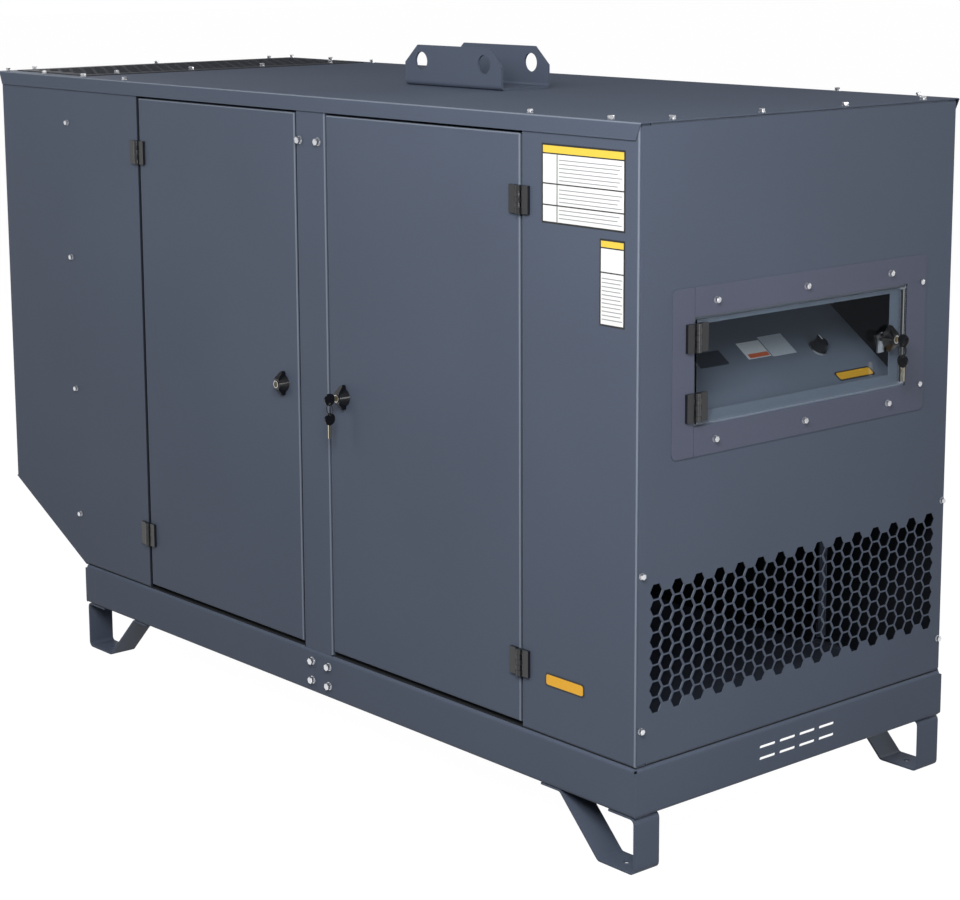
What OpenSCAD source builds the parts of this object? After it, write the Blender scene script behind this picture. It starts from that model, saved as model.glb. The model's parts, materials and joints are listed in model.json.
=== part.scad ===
// Gas generator in a folded-sheet canopy on a channel base, millimetres.
// +X runs to the air intake end, -Y is the side with the two hinged doors, Z = 0 is the ground,
// and the origin is the middle of the four anchor holes, under the middle of the base.

/* [Overall] */
// Length over the base rail and the sloped end
length = 2100; // [1900:10:2400]
// Width over the base rails
width = 840; // [800:10:960]
// Height of the canopy above the base
canopy_height = 1115; // [1080:5:1300]
// Height of the base rails
base_height = 90; // [80:5:140]
// Height of the feet below the base
foot_height = 105; // [90:5:150]

/* [Sheet metal] */
// Thickness of the canopy sheet
sheet = 2; // [1.5:0.5:3]
// Thickness of the base rails
base_sheet = 3; // [2.5:0.5:4]
// Depth of the folded edges of the canopy panels
fold = 25; // [22:1:32]
// Depth of the flanges of the base rails
rail_flange = 40; // [34:1:60]
// Inner radius of the bends of the base rails
base_bend = 4; // [2:0.5:6]
// Depth of the folded edges of the floor pan
pan_fold = 20; // [12:1:24]
// Inner radius of the bends of the canopy sheet
bend = 2; // [1:0.5:3]
// Thickness of the foam strip under the canopy
foam = 2; // [1:0.5:4]
// Width of the foam strip under the canopy
foam_width = 18; // [12:1:20]
// Clearance between folded parts that pass each other
clearance = 1; // [0.5:0.5:2]

/* [Base details] */
// Diameter of the relief notches at the top corners of the base
notch = 14; // [10:1:16]
// Depth of the relief notches
notch_depth = 8; // [6:1:12]
// Length of each slot in the end rail
slot_length = 44; // [30:1:48]
// Height of each slot
slot_height = 6; // [4:1:10]
// Spacing of the slots along the rail
slot_pitch = 54; // [52:1:60]
// Distance between the two rows of slots
slot_row = 22; // [16:1:28]

/* [Sloped end] */
// Length of the slope along the ground
slope_length = 305; // [250:5:360]
// Height of the slope
slope_height = 157; // [120:1:200]

/* [Roof] */
// Height of the roof flanges over the long sides
roof_flange = 30; // [20:1:34]
// Length of the diagonal cut at the ends of the roof flanges
flange_cut = 12; // [6:1:20]
// Length of the perforated roof sheet
vent_length = 306; // [300:2:330]
// Width of the perforated roof sheet
vent_width = 776; // [770:2:780]
// Distance of the perforated roof sheet from the sloped end
vent_setback = 28; // [27:1:40]
// Columns of holes in the perforated roof sheet
vent_columns = 9; // [5:1:9]
// Rows of holes in the longer columns of the roof sheet
vent_rows = 25; // [15:1:25]

/* [Lifting bracket] */
// Length of the bracket
bracket_length = 300; // [260:5:360]
// Width of the bracket
bracket_width = 130; // [100:5:180]
// Height of the bracket above the roof
bracket_height = 83; // [76:1:110]
// Thickness of the bracket plate
bracket_plate = 5; // [4:0.5:8]
// Diameter of the four lifting holes
eye_diameter = 38; // [24:1:40]
// Distance of the lifting holes from the ends of the bracket
eye_inset = 52; // [48:1:60]
// Height of the lifting holes above the roof
eye_height = 50; // [40:1:52]
// Length of the cut corners of the ears
ear_cut = 40; // [20:1:44]
// Height of the cut corners of the ears
ear_drop = 36; // [20:1:40]

/* [Doors] */
// Width of each door
door_width = 558; // [520:1:570]
// Gap round the doors
door_gap = 5; // [4:0.5:8]
// Distance from the roof to the top of the doors
door_drop = 35; // [34:1:45]
// Distance from the base to the bottom of the doors
door_lift = 10; // [9:0.5:20]
// Depth of the folded edges of the doors
door_depth = 20; // [14:1:21]
// Width of the centre post
post_width = 92; // [80:1:110]
// Distance of the centre post's middle from the air intake end
post_setback = 909.5; // [890:0.5:925]
// Length of the tongue of the centre post behind the base rail
tongue = 75; // [50:1:76]

/* [Hinges] */
// Width of an open hinge
hinge_width = 50; // [40:1:60]
// Height of a hinge
hinge_height = 50; // [40:1:56]
// Thickness of the hinge leaves
leaf = 6; // [5.8:0.1:8]
// Diameter of the hinge knuckles
knuckle = 11; // [10:0.1:11.4]
// Diameter of the hinge pin
hinge_pin = 4.8; // [3:0.1:6]
// Clearance between the knuckles, and from a knuckle to the other leaf
knuckle_gap = 0.4; // [0.3:0.1:1]
// Width of the pockets in each leaf beside the knuckles of the other
knuckle_pocket = 3; // [2:0.5:5]
// Thickness of the leaf under its pockets
pocket_floor = 2; // [1.5:0.5:3]
// Radial clearance between the pin and the turning knuckles
pin_play = 0.05; // [0.03:0.01:0.08]
// Distance of the hinge centres from the ends of the doors
hinge_inset = 115; // [80:1:150]

/* [Locks] */
// Distance of the locks from the free edge of the doors
lock_inset = 48; // [44:1:60]
// Height of the locks above the bottom of the doors
lock_rise = 526; // [450:1:620]
// Diameter of the round foot of the wing handle
handle_foot = 34; // [26:1:38]
// Length of the wings from tip to tip
wing_span = 50; // [44:1:60]
// Height of the wings at their tips
tip_height = 7; // [4:1:10]
// Width of the wings at their tips
tip_width = 9; // [6:1:12]
// Height of the wing handle above the door
handle_height = 20; // [16:1:26]
// Diameter of the key barrel
barrel = 15; // [12:0.5:15]
// Diameter of the handle shaft
shaft = 16; // [12:0.5:17]
// Clearance of the shaft in the door and of the handle foot above it
shaft_play = 0.4; // [0.3:0.1:0.8]
// Thickness of the latch cam
cam_plate = 3; // [2:0.5:4]
// Clearance between the latch cam and the frame that it catches
cam_gap = 5; // [4:0.5:8]
// Depth by which the latch cam catches behind the frame
cam_catch = 14; // [8:1:20]

/* [Keys] */
// Diameter of the round bow of a key
bow = 24; // [20:1:28]
// Thickness of the bow
bow_thick = 3; // [2:0.5:4]
// Distance from the barrel to the bow of the key in it
bow_reach = 4; // [3:1:8]
// Length of the blade of the hanging key
blade = 26; // [20:1:32]
// Width of the blade
blade_width = 8; // [6:0.5:8.5]
// Thickness of the blade
blade_thick = 2; // [1.5:0.5:2.5]
// Clearance of the blade in its slot
blade_play = 0.2; // [0.1:0.1:0.4]
// Depth of the slot in the barrel
slot_depth = 3; // [2:0.5:4]
// Diameter of the key ring
ring_diameter = 20; // [16:1:26]
// Thickness of the wire of the key ring
ring_wire = 1.6; // [1:0.2:2.4]
// Diameter of the ring hole in a bow
ring_hole = 4; // [3:0.5:5]

/* [Control window] */
// Width of the surround plate
surround_width = 676; // [660:2:700]
// Height of the surround plate
surround_height = 296; // [290:2:320]
// Corner radius of the surround plate
surround_radius = 12; // [6:1:20]
// Width of the joint between the hinge strip and the rest of the surround plate
surround_joint = 1; // [0.5:0.5:2]
// Width of the window opening
window_width = 568; // [540:2:590]
// Height of the window opening
window_height = 192; // [184:2:200]
// Height of the middle of the window above the ground
window_z = 876; // [860:1:900]
// Thickness of the clear pane
pane = 4; // [3:0.5:6]
// Depth from the pane to the recessed frame behind it
recess_depth = 6; // [4:0.5:10]
// Width of the recessed frame at the lock side
recess_side = 40; // [34:1:44]
// Height of the recessed frame at the top
recess_top = 15; // [10:1:24]
// Height of the recessed frame at the bottom
recess_bottom = 24; // [14:1:30]
// Width of the flange of the recessed frame behind the end panel
recess_flange = 12; // [8:1:16]
// Distance between the two window hinges
window_hinge_pitch = 121; // [118:1:126]
// Distance of the window lock from the free edge of the pane
window_lock_inset = 50; // [48:1:60]

/* [Control console] */
// Slope of the console panel against the horizontal
console_slope = 35.5; // [30:0.5:42]
// Width of the console panel
console_width = 560; // [480:2:566]
// Length of the console panel along its slope
console_length = 230; // [200:2:260]
// Height of the front edge of the console panel above the bottom of the window
console_rise = 14; // [10:1:20]
// Distance from the end panel to the front edge of the console panel
console_setback = 18; // [16:1:30]
// Depth of the folded edges of the console panel
console_lip = 22; // [16:1:28]
// Width of the tabs of the console cheeks
cheek_tab = 20; // [14:1:26]
// Diameter of the selector knob
selector = 30; // [22:1:36]
// Diameter of the selector shaft
selector_shaft = 10; // [8:0.5:12]
// Width of the pointer bar on the selector knob
selector_bar = 6; // [4:1:8]
// Height of the selector knob
selector_height = 20; // [14:1:26]
// Distance of the selector knob from the middle of the console
selector_offset = 150; // [120:1:180]
// Distance of the selector knob up the slope
selector_rise = 100; // [80:1:130]
// Width of the display on the console
display_width = 70; // [50:1:90]
// Height of the display on the console
display_height = 34; // [26:1:44]
// Thickness of the display above the console
display_thick = 3; // [2:0.5:5]
// Distance of the display from the middle of the console
display_offset = -125; // [-150:1:-100]
// Distance of the display up the slope
display_rise = 118; // [100:1:140]

/* [Air intake] */
// Width of each hexagonal hole across its flats
hex_flats = 26; // [16:0.5:26]
// Spacing of the holes in a column
hex_pitch = 29.1; // [29.1:0.1:30]
// Spacing of the columns
hex_column = 26.4; // [26.4:0.1:27]
// Columns of holes in the air intake
intake_columns = 29; // [15:2:29]
// Rows of holes in the longer columns of the air intake
intake_rows = 8; // [4:1:8]
// Height of the middle of the air intake above the ground
intake_z = 403; // [390:1:420]

/* [Feet] */
// Width of the foot bar
foot_width = 60; // [40:1:80]
// Thickness of the foot bar
foot_bar = 4; // [3:0.5:6]
// Inner radius of the bends of the feet
foot_bend = 8; // [4:1:12]
// Length of the top flange over the upright leg
foot_top = 67; // [40:1:80]
// Length of the pad on the ground
foot_pad = 92; // [70:1:110]
// Reach of the slanted leg
foot_reach = 192; // [150:1:220]
// Length of the top flange beyond the slanted leg
foot_flange = 50; // [30:1:70]
// Diameter of the anchor holes
anchor_diameter = 12; // [8:0.5:18]
// Distance of the anchor holes from the outer face of the feet
anchor_inset = 50; // [40:1:60]

/* [Hidden] */
$fn = 48;

// Overall places
base_half = (length - slope_length) / 2;
half_w = width / 2;
base_top = foot_height + base_height;
canopy_top = base_top + canopy_height;
left_end = -base_half - slope_length;
left_skin = left_end + base_sheet;
right_skin = base_half - base_sheet;
skin_y = half_w - base_sheet;
panel_bottom = base_top + foam;
panel_top = canopy_top - sheet;

// Slope of the left end, from the end panel down to the base
slope_z = base_top + slope_height;
slope_angle = atan2(slope_height, slope_length - base_sheet);
slope_rise = sheet / cos(slope_angle);

// Outer radius of a bend in the canopy sheet
corner = bend + sheet;

// Door bays
post_middle = base_half - post_setback;
post_left = post_middle - post_width / 2;
post_right = post_middle + post_width / 2;
door_bottom = base_top + door_lift;
door_top = canopy_top - door_drop;
left_hinge_edge = post_left - door_gap - door_width;
right_hinge_edge = post_right + door_gap + door_width;
lock_z = door_bottom + lock_rise;
hinge_heights = [door_bottom + hinge_inset, door_top - hinge_inset];

// Window
surround_face = right_skin + sheet;
window_low = window_z - window_height / 2;
window_high = window_z + window_height / 2;
half_window = window_width / 2;
half_pane = half_window - door_gap;
recess_face = surround_face - pane - recess_depth;
window_hinge_heights = [window_z - window_hinge_pitch / 2, window_z + window_hinge_pitch / 2];

// Console
console_front = right_skin - sheet - console_setback;
console_low = window_low + console_rise;

paint = [0.27, 0.30, 0.34];
dark_paint = [0.22, 0.24, 0.27];
plastic = [0.05, 0.05, 0.055];
zinc = [0.72, 0.73, 0.74];
overrun = 1;

// ---- Folded sheet ----

function unit(v) = v / norm(v);
function turn_left(v) = [-v[1], v[0]];

// Points of the arc that rounds the corner b between a and c
function corner_arc(a, b, c, r, steps = 4) =
    let (
        u = unit(a - b),
        v = unit(c - b),
        half = acos(u * v) / 2,
        centre = b + unit(u + v) * r / sin(half),
        from = b + u * r / tan(half) - centre,
        to = b + v * r / tan(half) - centre,
        side = from[0] * to[1] - from[1] * to[0] > 0 ? 1 : -1
    )
    [for (i = [0 : steps])
        let (t = side * (180 - 2 * half) * i / steps)
        centre + [from[0] * cos(t) - from[1] * sin(t), from[0] * sin(t) + from[1] * cos(t)]];

// Middle line of a sheet with every corner rounded
function rounded_path(points, r) = [
    points[0],
    for (i = [1 : len(points) - 2])
        each corner_arc(points[i - 1], points[i], points[i + 1], r),
    points[len(points) - 1]
];

function side_step(path, i, distance) =
    let (
        last = len(path) - 1,
        before = turn_left(unit(path[max(i, 1)] - path[max(i, 1) - 1])),
        after = turn_left(unit(path[min(i + 1, last)] - path[min(i + 1, last) - 1])),
        both = unit(before + after)
    )
    path[i] + both * distance / (both * after);

// Cross-section of a sheet of the given thickness folded along a middle line
module folded_section(points, thick, r) {
    path = rounded_path(points, r + thick / 2);
    last = len(path) - 1;
    polygon([
        for (i = [0 : last]) side_step(path, i, thick / 2),
        for (i = [last : -1 : 0]) side_step(path, i, -thick / 2)
    ]);
}

// Corner b between a and c, rounded by r, or sharp where r is 0
function soft_corner(a, b, c, r) = r > 0 ? corner_arc(a, b, c, r) : [b];

// Rectangle from y = 0 to y = depth, with the radii r[0] and r[1] at its corners on y = 0
module soft_rectangle(from, to, depth, r) {
    polygon([
        [from, depth],
        each soft_corner([from, depth], [from, 0], [to, 0], r[0]),
        each soft_corner([from, 0], [to, 0], [to, depth], r[1]),
        [to, depth]
    ]);
}

// Block on the face y = 0 between two corners in X and Z. Its edges on that face have the
// radii r, in the order left, right, low, high.
module soft_block(from, to, depth, r) {
    intersection() {
        translate([0, 0, from[1]])
            linear_extrude(to[1] - from[1])
            soft_rectangle(from[0], to[0], depth, [r[0], r[1]]);
        translate([from[0], 0, 0])
            rotate([90, 0, 90])
            linear_extrude(to[0] - from[0])
            mirror([1, -1, 0])
            soft_rectangle(from[1], to[1], depth, [r[2], r[3]]);
    }
}

// Sheet on the face y = 0 between two corners in X and Z, folded inward to the given depth on
// each side that is 1 in the list left, right, low, high
module tray(from, to, depth, sides) {
    open = [for (side = sides) 1 - side];
    difference() {
        soft_block(from, to, depth, sides * corner);
        translate([0, sheet, 0])
            soft_block(
                from + [sides[0], sides[2]] * sheet - [open[0], open[2]] * overrun,
                to - [sides[1], sides[3]] * sheet + [open[1], open[3]] * overrun,
                depth,
                sides * bend
            );
    }
}

// ---- Helpers that place flat shapes ----

// A flat shape drawn in X and Z, from y = 0 to y = thick
module plate_xz(thick) {
    translate([0, thick, 0]) rotate([90, 0, 0]) linear_extrude(thick) children();
}

// A flat shape drawn in Y and Z, from x = 0 to x = thick
module plate_yz(thick) {
    rotate([90, 0, 90]) linear_extrude(thick) children();
}

// The outer face of the front panels, with +Y going inward
module at_front() {
    translate([0, -skin_y, 0]) children();
}

module at_back() {
    mirror([0, 1, 0]) at_front() children();
}

// An end face at x, turned so that +X there is +Y here and +Y goes inward
module at_end(x) {
    translate([x, 0, 0]) rotate([0, 0, 90]) children();
}

module span(from, to) {
    translate(from) cube(to - from);
}

module obround(long, wide) {
    square([long - wide, wide], center = true);
    for (side = [-1, 1])
        translate([side * (long - wide) / 2, 0]) circle(d = wide);
}

module rounded_square(size, r) {
    inner = size - [2 * r, 2 * r];
    square([size[0], inner[1]], center = true);
    square([inner[0], size[1]], center = true);
    for (x = [-0.5, 0.5], y = [-0.5, 0.5])
        translate([x * inner[0], y * inner[1]]) circle(r);
}

// Hexagonal holes with flats above and below, every other column one hole shorter
module hex_field(columns, rows) {
    for (column = [0 : columns - 1])
        let (count = rows - column % 2)
        for (row = [0 : count - 1])
            translate([
                (column - (columns - 1) / 2) * hex_column,
                (row - (count - 1) / 2) * hex_pitch
            ])
                circle(d = hex_flats / cos(30), $fn = 6);
}

// ---- Base ----

// Channel section with its web at x = 0 and its flanges towards +X
module rail_section() {
    middle = base_sheet / 2;
    folded_section([
        [rail_flange, middle],
        [middle, middle],
        [middle, base_height - middle],
        [rail_flange, base_height - middle]
    ], base_sheet, base_bend);
}

// Relief notches at the top corners of the base, where the bends of two rails meet
module corner_notches() {
    for (x = [-1, 1], y = [-1, 1])
        translate([x * base_half, y * half_w, base_top - notch_depth])
            cylinder(d = notch, h = notch_depth + overrun);
}

module side_rail() {
    difference() {
        translate([-base_half + base_sheet, -half_w, foot_height])
            rotate([90, 0, 90])
            linear_extrude(2 * (base_half - base_sheet))
            rail_section();
        span(
            [post_left - clearance, -skin_y, base_top - base_sheet - base_bend - overrun],
            [post_right + clearance, -skin_y + sheet + clearance, base_top + overrun]
        );
        corner_notches();
    }
}

module base_rail_front() {
    color(paint) side_rail();
}

module base_rail_back() {
    color(paint) mirror([0, 1, 0]) side_rail();
}

// Left end rail: its web is as wide as the base, and its flanges lie between the side rails
module end_rail() {
    flange_half = half_w - rail_flange - clearance;
    difference() {
        translate([-base_half, 0, foot_height]) {
            translate([0, flange_half, 0])
                rotate([90, 0, 0])
                linear_extrude(2 * flange_half)
                rail_section();
            for (side = [-1, 1])
                translate([0, side > 0 ? half_w : -flange_half, 0])
                    rotate([90, 0, 0])
                    linear_extrude(half_w - flange_half)
                    intersection() {
                        rail_section();
                        square([base_sheet, base_height]);
                    }
        }
        corner_notches();
    }
}

module base_rail_right() {
    color(paint)
        difference() {
            mirror([1, 0, 0]) end_rail();
            translate([base_half - base_sheet - overrun, 0, foot_height + base_height / 2])
                plate_yz(base_sheet + 2 * overrun)
                for (column = [-1.5 : 1.5], row = [-0.5, 0.5])
                    translate([column * slot_pitch, row * slot_row]) obround(slot_length, slot_height);
        }
}

module base_rail_left() {
    color(paint) end_rail();
}

// Pan under the top flanges of the rails, its edges folded down
module floor_pan() {
    floor_top = base_top - base_sheet;
    low = floor_top - pan_fold;
    half_x = base_half - base_sheet - base_bend - clearance;
    half_y = skin_y - max(sheet, base_bend) - clearance;
    color(dark_paint)
        difference() {
            span([-half_x, -half_y, low], [half_x, half_y, floor_top]);
            span(
                [sheet - half_x, sheet - half_y, low - overrun],
                [half_x - sheet, half_y - sheet, floor_top - sheet]
            );
        }
}

module foam_strip() {
    outer = [right_skin - sheet, skin_y - sheet];
    inner = outer - [foam_width, foam_width];
    color(plastic)
        difference() {
            span([-outer[0], -outer[1], base_top], [outer[0], outer[1], panel_bottom]);
            span(
                [-inner[0], -inner[1], base_top - overrun],
                [inner[0], inner[1], panel_bottom + overrun]
            );
        }
}

// ---- Feet ----

// Bent bar with its upright leg at x = 0, reaching towards +X
module foot() {
    middle = foot_bar / 2;
    top = foot_height - middle;
    difference() {
        plate_xz(foot_width)
            folded_section([
                [foot_top, top],
                [middle, top],
                [middle, middle],
                [foot_pad, middle],
                [foot_reach, top],
                [foot_reach + foot_flange, top]
            ], foot_bar, foot_bend);
        translate([anchor_inset, foot_width / 2, -overrun])
            cylinder(d = anchor_diameter, h = foot_bar + 2 * overrun);
    }
}

module foot_at(right, front) {
    color(paint)
        mirror([right ? 1 : 0, 0, 0])
        mirror([0, front ? 0 : 1, 0])
        translate([-base_half + base_sheet, -skin_y, 0])
        foot();
}

module foot_front_right() {
    foot_at(true, true);
}

module foot_front_left() {
    foot_at(false, true);
}

module foot_back_right() {
    foot_at(true, false);
}

module foot_back_left() {
    foot_at(false, false);
}

// ---- Canopy sides ----

// Place in X of the sloped sheet's upper face at the height z
function slope_x(z) = (slope_rise + base_top - z) / tan(slope_angle) - base_half;

// Left panel: folded on all four sides, its lower corner cut to lie on the sloped sheet
module left_panel() {
    low = panel_bottom - overrun;
    high = slope_z + slope_rise + overrun;
    difference() {
        tray(
            [left_skin + sheet, panel_bottom],
            [left_hinge_edge - door_gap, panel_top],
            fold, [1, 1, 1, 1]
        );
        translate([0, -overrun, 0])
            plate_xz(fold + 2 * overrun)
            polygon([[slope_x(low), low], [slope_x(high), high], [slope_x(high), low]]);
    }
}

module right_panel() {
    tray(
        [right_hinge_edge + door_gap, panel_bottom],
        [right_skin - sheet, panel_top],
        fold, [1, 1, 1, 1]
    );
}

// Centre post: channel that opens inward, with a tongue bolted behind the base rail
module center_post() {
    tray([post_left, panel_bottom], [post_right, panel_top], fold, [1, 1, 0, 1]);
    span(
        [post_left + corner, 0, base_top - tongue],
        [post_right - corner, sheet, panel_bottom + fold]
    );
}

// Rails that close the two door bays above and below, between the panels and the post
module cross_rails() {
    behind_door = door_depth + door_gap;
    middle = sheet / 2;
    for (bay = [[left_hinge_edge - door_gap, post_left], [post_right, right_hinge_edge + door_gap]]) {
        tray([bay[0], door_top + door_gap], [bay[1], panel_top], fold, [0, 0, 1, 1]);
        translate([bay[0], behind_door, base_top])
            rotate([90, 0, 90])
            linear_extrude(bay[1] - bay[0])
            folded_section([
                [fold, middle],
                [middle, middle],
                [middle, door_lift + fold]
            ], sheet, bend);
    }
}

module front_left_panel() {
    color(paint) at_front() left_panel();
}

module front_center_post() {
    color(paint) at_front() center_post();
}

module front_right_panel() {
    color(paint) at_front() right_panel();
}

module front_cross_rails() {
    color(paint) at_front() cross_rails();
}

module back_left_panel() {
    color(paint) at_back() left_panel();
}

module back_center_post() {
    color(paint) at_back() center_post();
}

module back_right_panel() {
    color(paint) at_back() right_panel();
}

module back_cross_rails() {
    color(paint) at_back() cross_rails();
}

// ---- Canopy ends ----

// End panel on the face y = 0, between the rounded corners of the side panels. Its upper and
// lower folds pass between the returns of the side panels.
module end_panel(low, low_side) {
    half = skin_y - corner;
    folded_half = skin_y - fold - clearance;
    tray([-folded_half, low], [folded_half, panel_top], fold, [0, 0, low_side, 1]);
    span([-half, 0, low + low_side * corner], [half, sheet, panel_top - corner]);
}

module right_end_panel() {
    color(paint)
        at_end(right_skin)
        difference() {
            end_panel(panel_bottom, 1);
            translate([0, -overrun, 0])
                plate_xz(sheet + 2 * overrun) {
                    translate([0, window_z]) square([window_width, window_height], center = true);
                    translate([0, intake_z]) hex_field(intake_columns, intake_rows);
                }
        }
}

module left_end_panel() {
    color(paint) mirror([1, 0, 0]) at_end(-left_skin) end_panel(slope_z, 0);
}

// Sheet under the sloped end, from the end panel down to the base
module left_slope_panel() {
    color(paint)
        translate([0, -skin_y, 0])
        plate_xz(2 * skin_y)
        polygon([
            [left_skin, slope_z],
            [-base_half, base_top],
            [-base_half + slope_rise / tan(slope_angle), base_top],
            [left_skin + sheet, slope_z + slope_rise - sheet * tan(slope_angle)],
            [left_skin + sheet, slope_z]
        ]);
}

// ---- Roof ----

vent_middle = left_end + vent_setback + vent_length / 2;

// Roof: one sheet folded down over both long sides, its flanges cut at their ends
module roof_panel() {
    field = [(vent_columns + 1) * hex_column, (vent_rows + 1) * hex_pitch];
    edge = half_w - sheet / 2;
    low = canopy_top - roof_flange;
    color(paint)
        difference() {
            translate([left_end, 0, 0])
                rotate([90, 0, 90])
                linear_extrude(base_half - left_end)
                folded_section([
                    [-edge, low],
                    [-edge, canopy_top - sheet / 2],
                    [edge, canopy_top - sheet / 2],
                    [edge, low]
                ], sheet, bend);
            translate([vent_middle, 0, panel_top + sheet / 2])
                cube([field[0], field[1], 2 * sheet], center = true);
            for (end = [[left_end, 1], [base_half, -1]])
                translate([end[0], -half_w - overrun, 0])
                    plate_xz(width + 2 * overrun)
                    polygon([
                        [0, panel_top],
                        [end[1] * flange_cut, low],
                        [end[1] * flange_cut, low - overrun],
                        [-end[1] * overrun, low - overrun],
                        [-end[1] * overrun, panel_top]
                    ]);
        }
}

module roof_vent_panel() {
    color(dark_paint)
        translate([vent_middle, 0, canopy_top])
        linear_extrude(sheet)
        difference() {
            square([vent_length, vent_width], center = true);
            hex_field(vent_columns, vent_rows);
        }
}

// Channel with two ears, cut corners and two lifting holes through both ears
module lifting_bracket() {
    middle = bracket_plate / 2;
    half = bracket_length / 2;
    color(paint)
        translate([0, 0, canopy_top])
        difference() {
            translate([-half, 0, 0])
                rotate([90, 0, 90])
                linear_extrude(bracket_length)
                folded_section([
                    [-bracket_width / 2 + middle, bracket_height],
                    [-bracket_width / 2 + middle, middle],
                    [bracket_width / 2 - middle, middle],
                    [bracket_width / 2 - middle, bracket_height]
                ], bracket_plate, bracket_plate);
            for (side = [-1, 1]) {
                translate([side * (half - eye_inset), 0, eye_height])
                    rotate([90, 0, 0])
                    cylinder(d = eye_diameter, h = bracket_width + 2 * overrun, center = true);
                translate([0, -bracket_width / 2 - overrun, 0])
                    plate_xz(bracket_width + 2 * overrun)
                    polygon([
                        [side * half, bracket_height - ear_drop],
                        [side * (half - ear_cut), bracket_height],
                        [side * (half + overrun), bracket_height + overrun]
                    ]);
            }
        }
}

// ---- Doors ----

// Door pan with its outer face at y = 0, folded edges inward, and a hole for the lock
module door_pan(left, lock_x) {
    difference() {
        tray([left, door_bottom], [left + door_width, door_top], door_depth, [1, 1, 1, 1]);
        translate([lock_x, 0, lock_z])
            rotate([90, 0, 0])
            cylinder(d = shaft + 2 * shaft_play, h = 4 * sheet, center = true);
    }
}

left_lock_x = left_hinge_edge + door_width - lock_inset;
right_lock_x = right_hinge_edge - door_width + lock_inset;

module front_left_door() {
    color(paint) at_front() door_pan(left_hinge_edge, left_lock_x);
}

module front_right_door() {
    color(paint) at_front() door_pan(right_hinge_edge - door_width, right_lock_x);
}

module back_left_door() {
    color(paint) at_back() door_pan(left_hinge_edge, left_lock_x);
}

module back_right_door() {
    color(paint) at_back() door_pan(right_hinge_edge - door_width, right_lock_x);
}

// ---- Hinges ----

knuckle_count = 5;
knuckle_pitch = hinge_height / knuckle_count;
leaf_inner = knuckle / 2 + knuckle_gap;

// One leaf on the face y = 0, reaching towards +X, with the pin on the Z axis.
// The fixed leaf has the first, third and fifth knuckle and holds the pin.
module hinge_leaf(fixed) {
    first = fixed ? 0 : 1;
    low = -hinge_height / 2;
    difference() {
        union() {
            span([leaf_inner, -leaf, low], [hinge_width / 2, 0, low + hinge_height]);
            for (i = [first : 2 : knuckle_count - 1])
                translate([0, -leaf, low + i * knuckle_pitch]) {
                    gap_low = i == 0 ? 0 : knuckle_gap / 2;
                    gap_high = i == knuckle_count - 1 ? 0 : knuckle_gap / 2;
                    tall = knuckle_pitch - gap_low - gap_high;
                    translate([0, 0, gap_low]) {
                        cylinder(d = knuckle, h = tall);
                        translate([0, -knuckle / 4, 0]) cube([leaf_inner + 1, knuckle / 2, tall]);
                    }
                }
        }
        for (i = [1 - first : 2 : knuckle_count - 1])
            span(
                [0, -leaf - overrun, low + i * knuckle_pitch],
                [leaf_inner + knuckle_pocket, -pocket_floor, low + (i + 1) * knuckle_pitch]
            );
        if (!fixed)
            translate([0, -leaf, low - overrun])
                cylinder(d = hinge_pin + 2 * pin_play, h = hinge_height + 2 * overrun);
    }
    if (fixed)
        translate([0, -leaf, low]) cylinder(d = hinge_pin, h = hinge_height);
}

// Leaves of both hinges of one door, with the hinge line at x and the door on the given side
module side_leaves(x, door_side, fixed) {
    leaf_side = fixed ? -door_side : door_side;
    for (z = hinge_heights)
        translate([x, 0, z])
            mirror([leaf_side > 0 ? 0 : 1, 0, 0])
            hinge_leaf(fixed);
}

left_hinge_x = left_hinge_edge - door_gap / 2;
right_hinge_x = right_hinge_edge + door_gap / 2;

module front_left_frame_leaves() {
    color(plastic) at_front() side_leaves(left_hinge_x, 1, true);
}

module front_left_door_leaves() {
    color(plastic) at_front() side_leaves(left_hinge_x, 1, false);
}

module front_right_frame_leaves() {
    color(plastic) at_front() side_leaves(right_hinge_x, -1, true);
}

module front_right_door_leaves() {
    color(plastic) at_front() side_leaves(right_hinge_x, -1, false);
}

module back_hinges() {
    color(plastic)
        at_back()
        for (fixed = [true, false]) {
            side_leaves(left_hinge_x, 1, fixed);
            side_leaves(right_hinge_x, -1, fixed);
        }
}

module at_window() {
    at_end(surround_face) children();
}

window_hinge_y = -half_window + door_gap / 2;

module window_leaves(fixed) {
    for (z = window_hinge_heights)
        at_window()
            translate([window_hinge_y, 0, z])
            mirror([fixed ? 1 : 0, 0, 0])
            hinge_leaf(fixed);
}

module window_frame_leaves() {
    color(plastic) window_leaves(true);
}

module window_door_leaves() {
    color(plastic) window_leaves(false);
}

// ---- Locks ----

barrel_proud = 1;
pocket = 9;
collar = barrel + 6;

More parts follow.
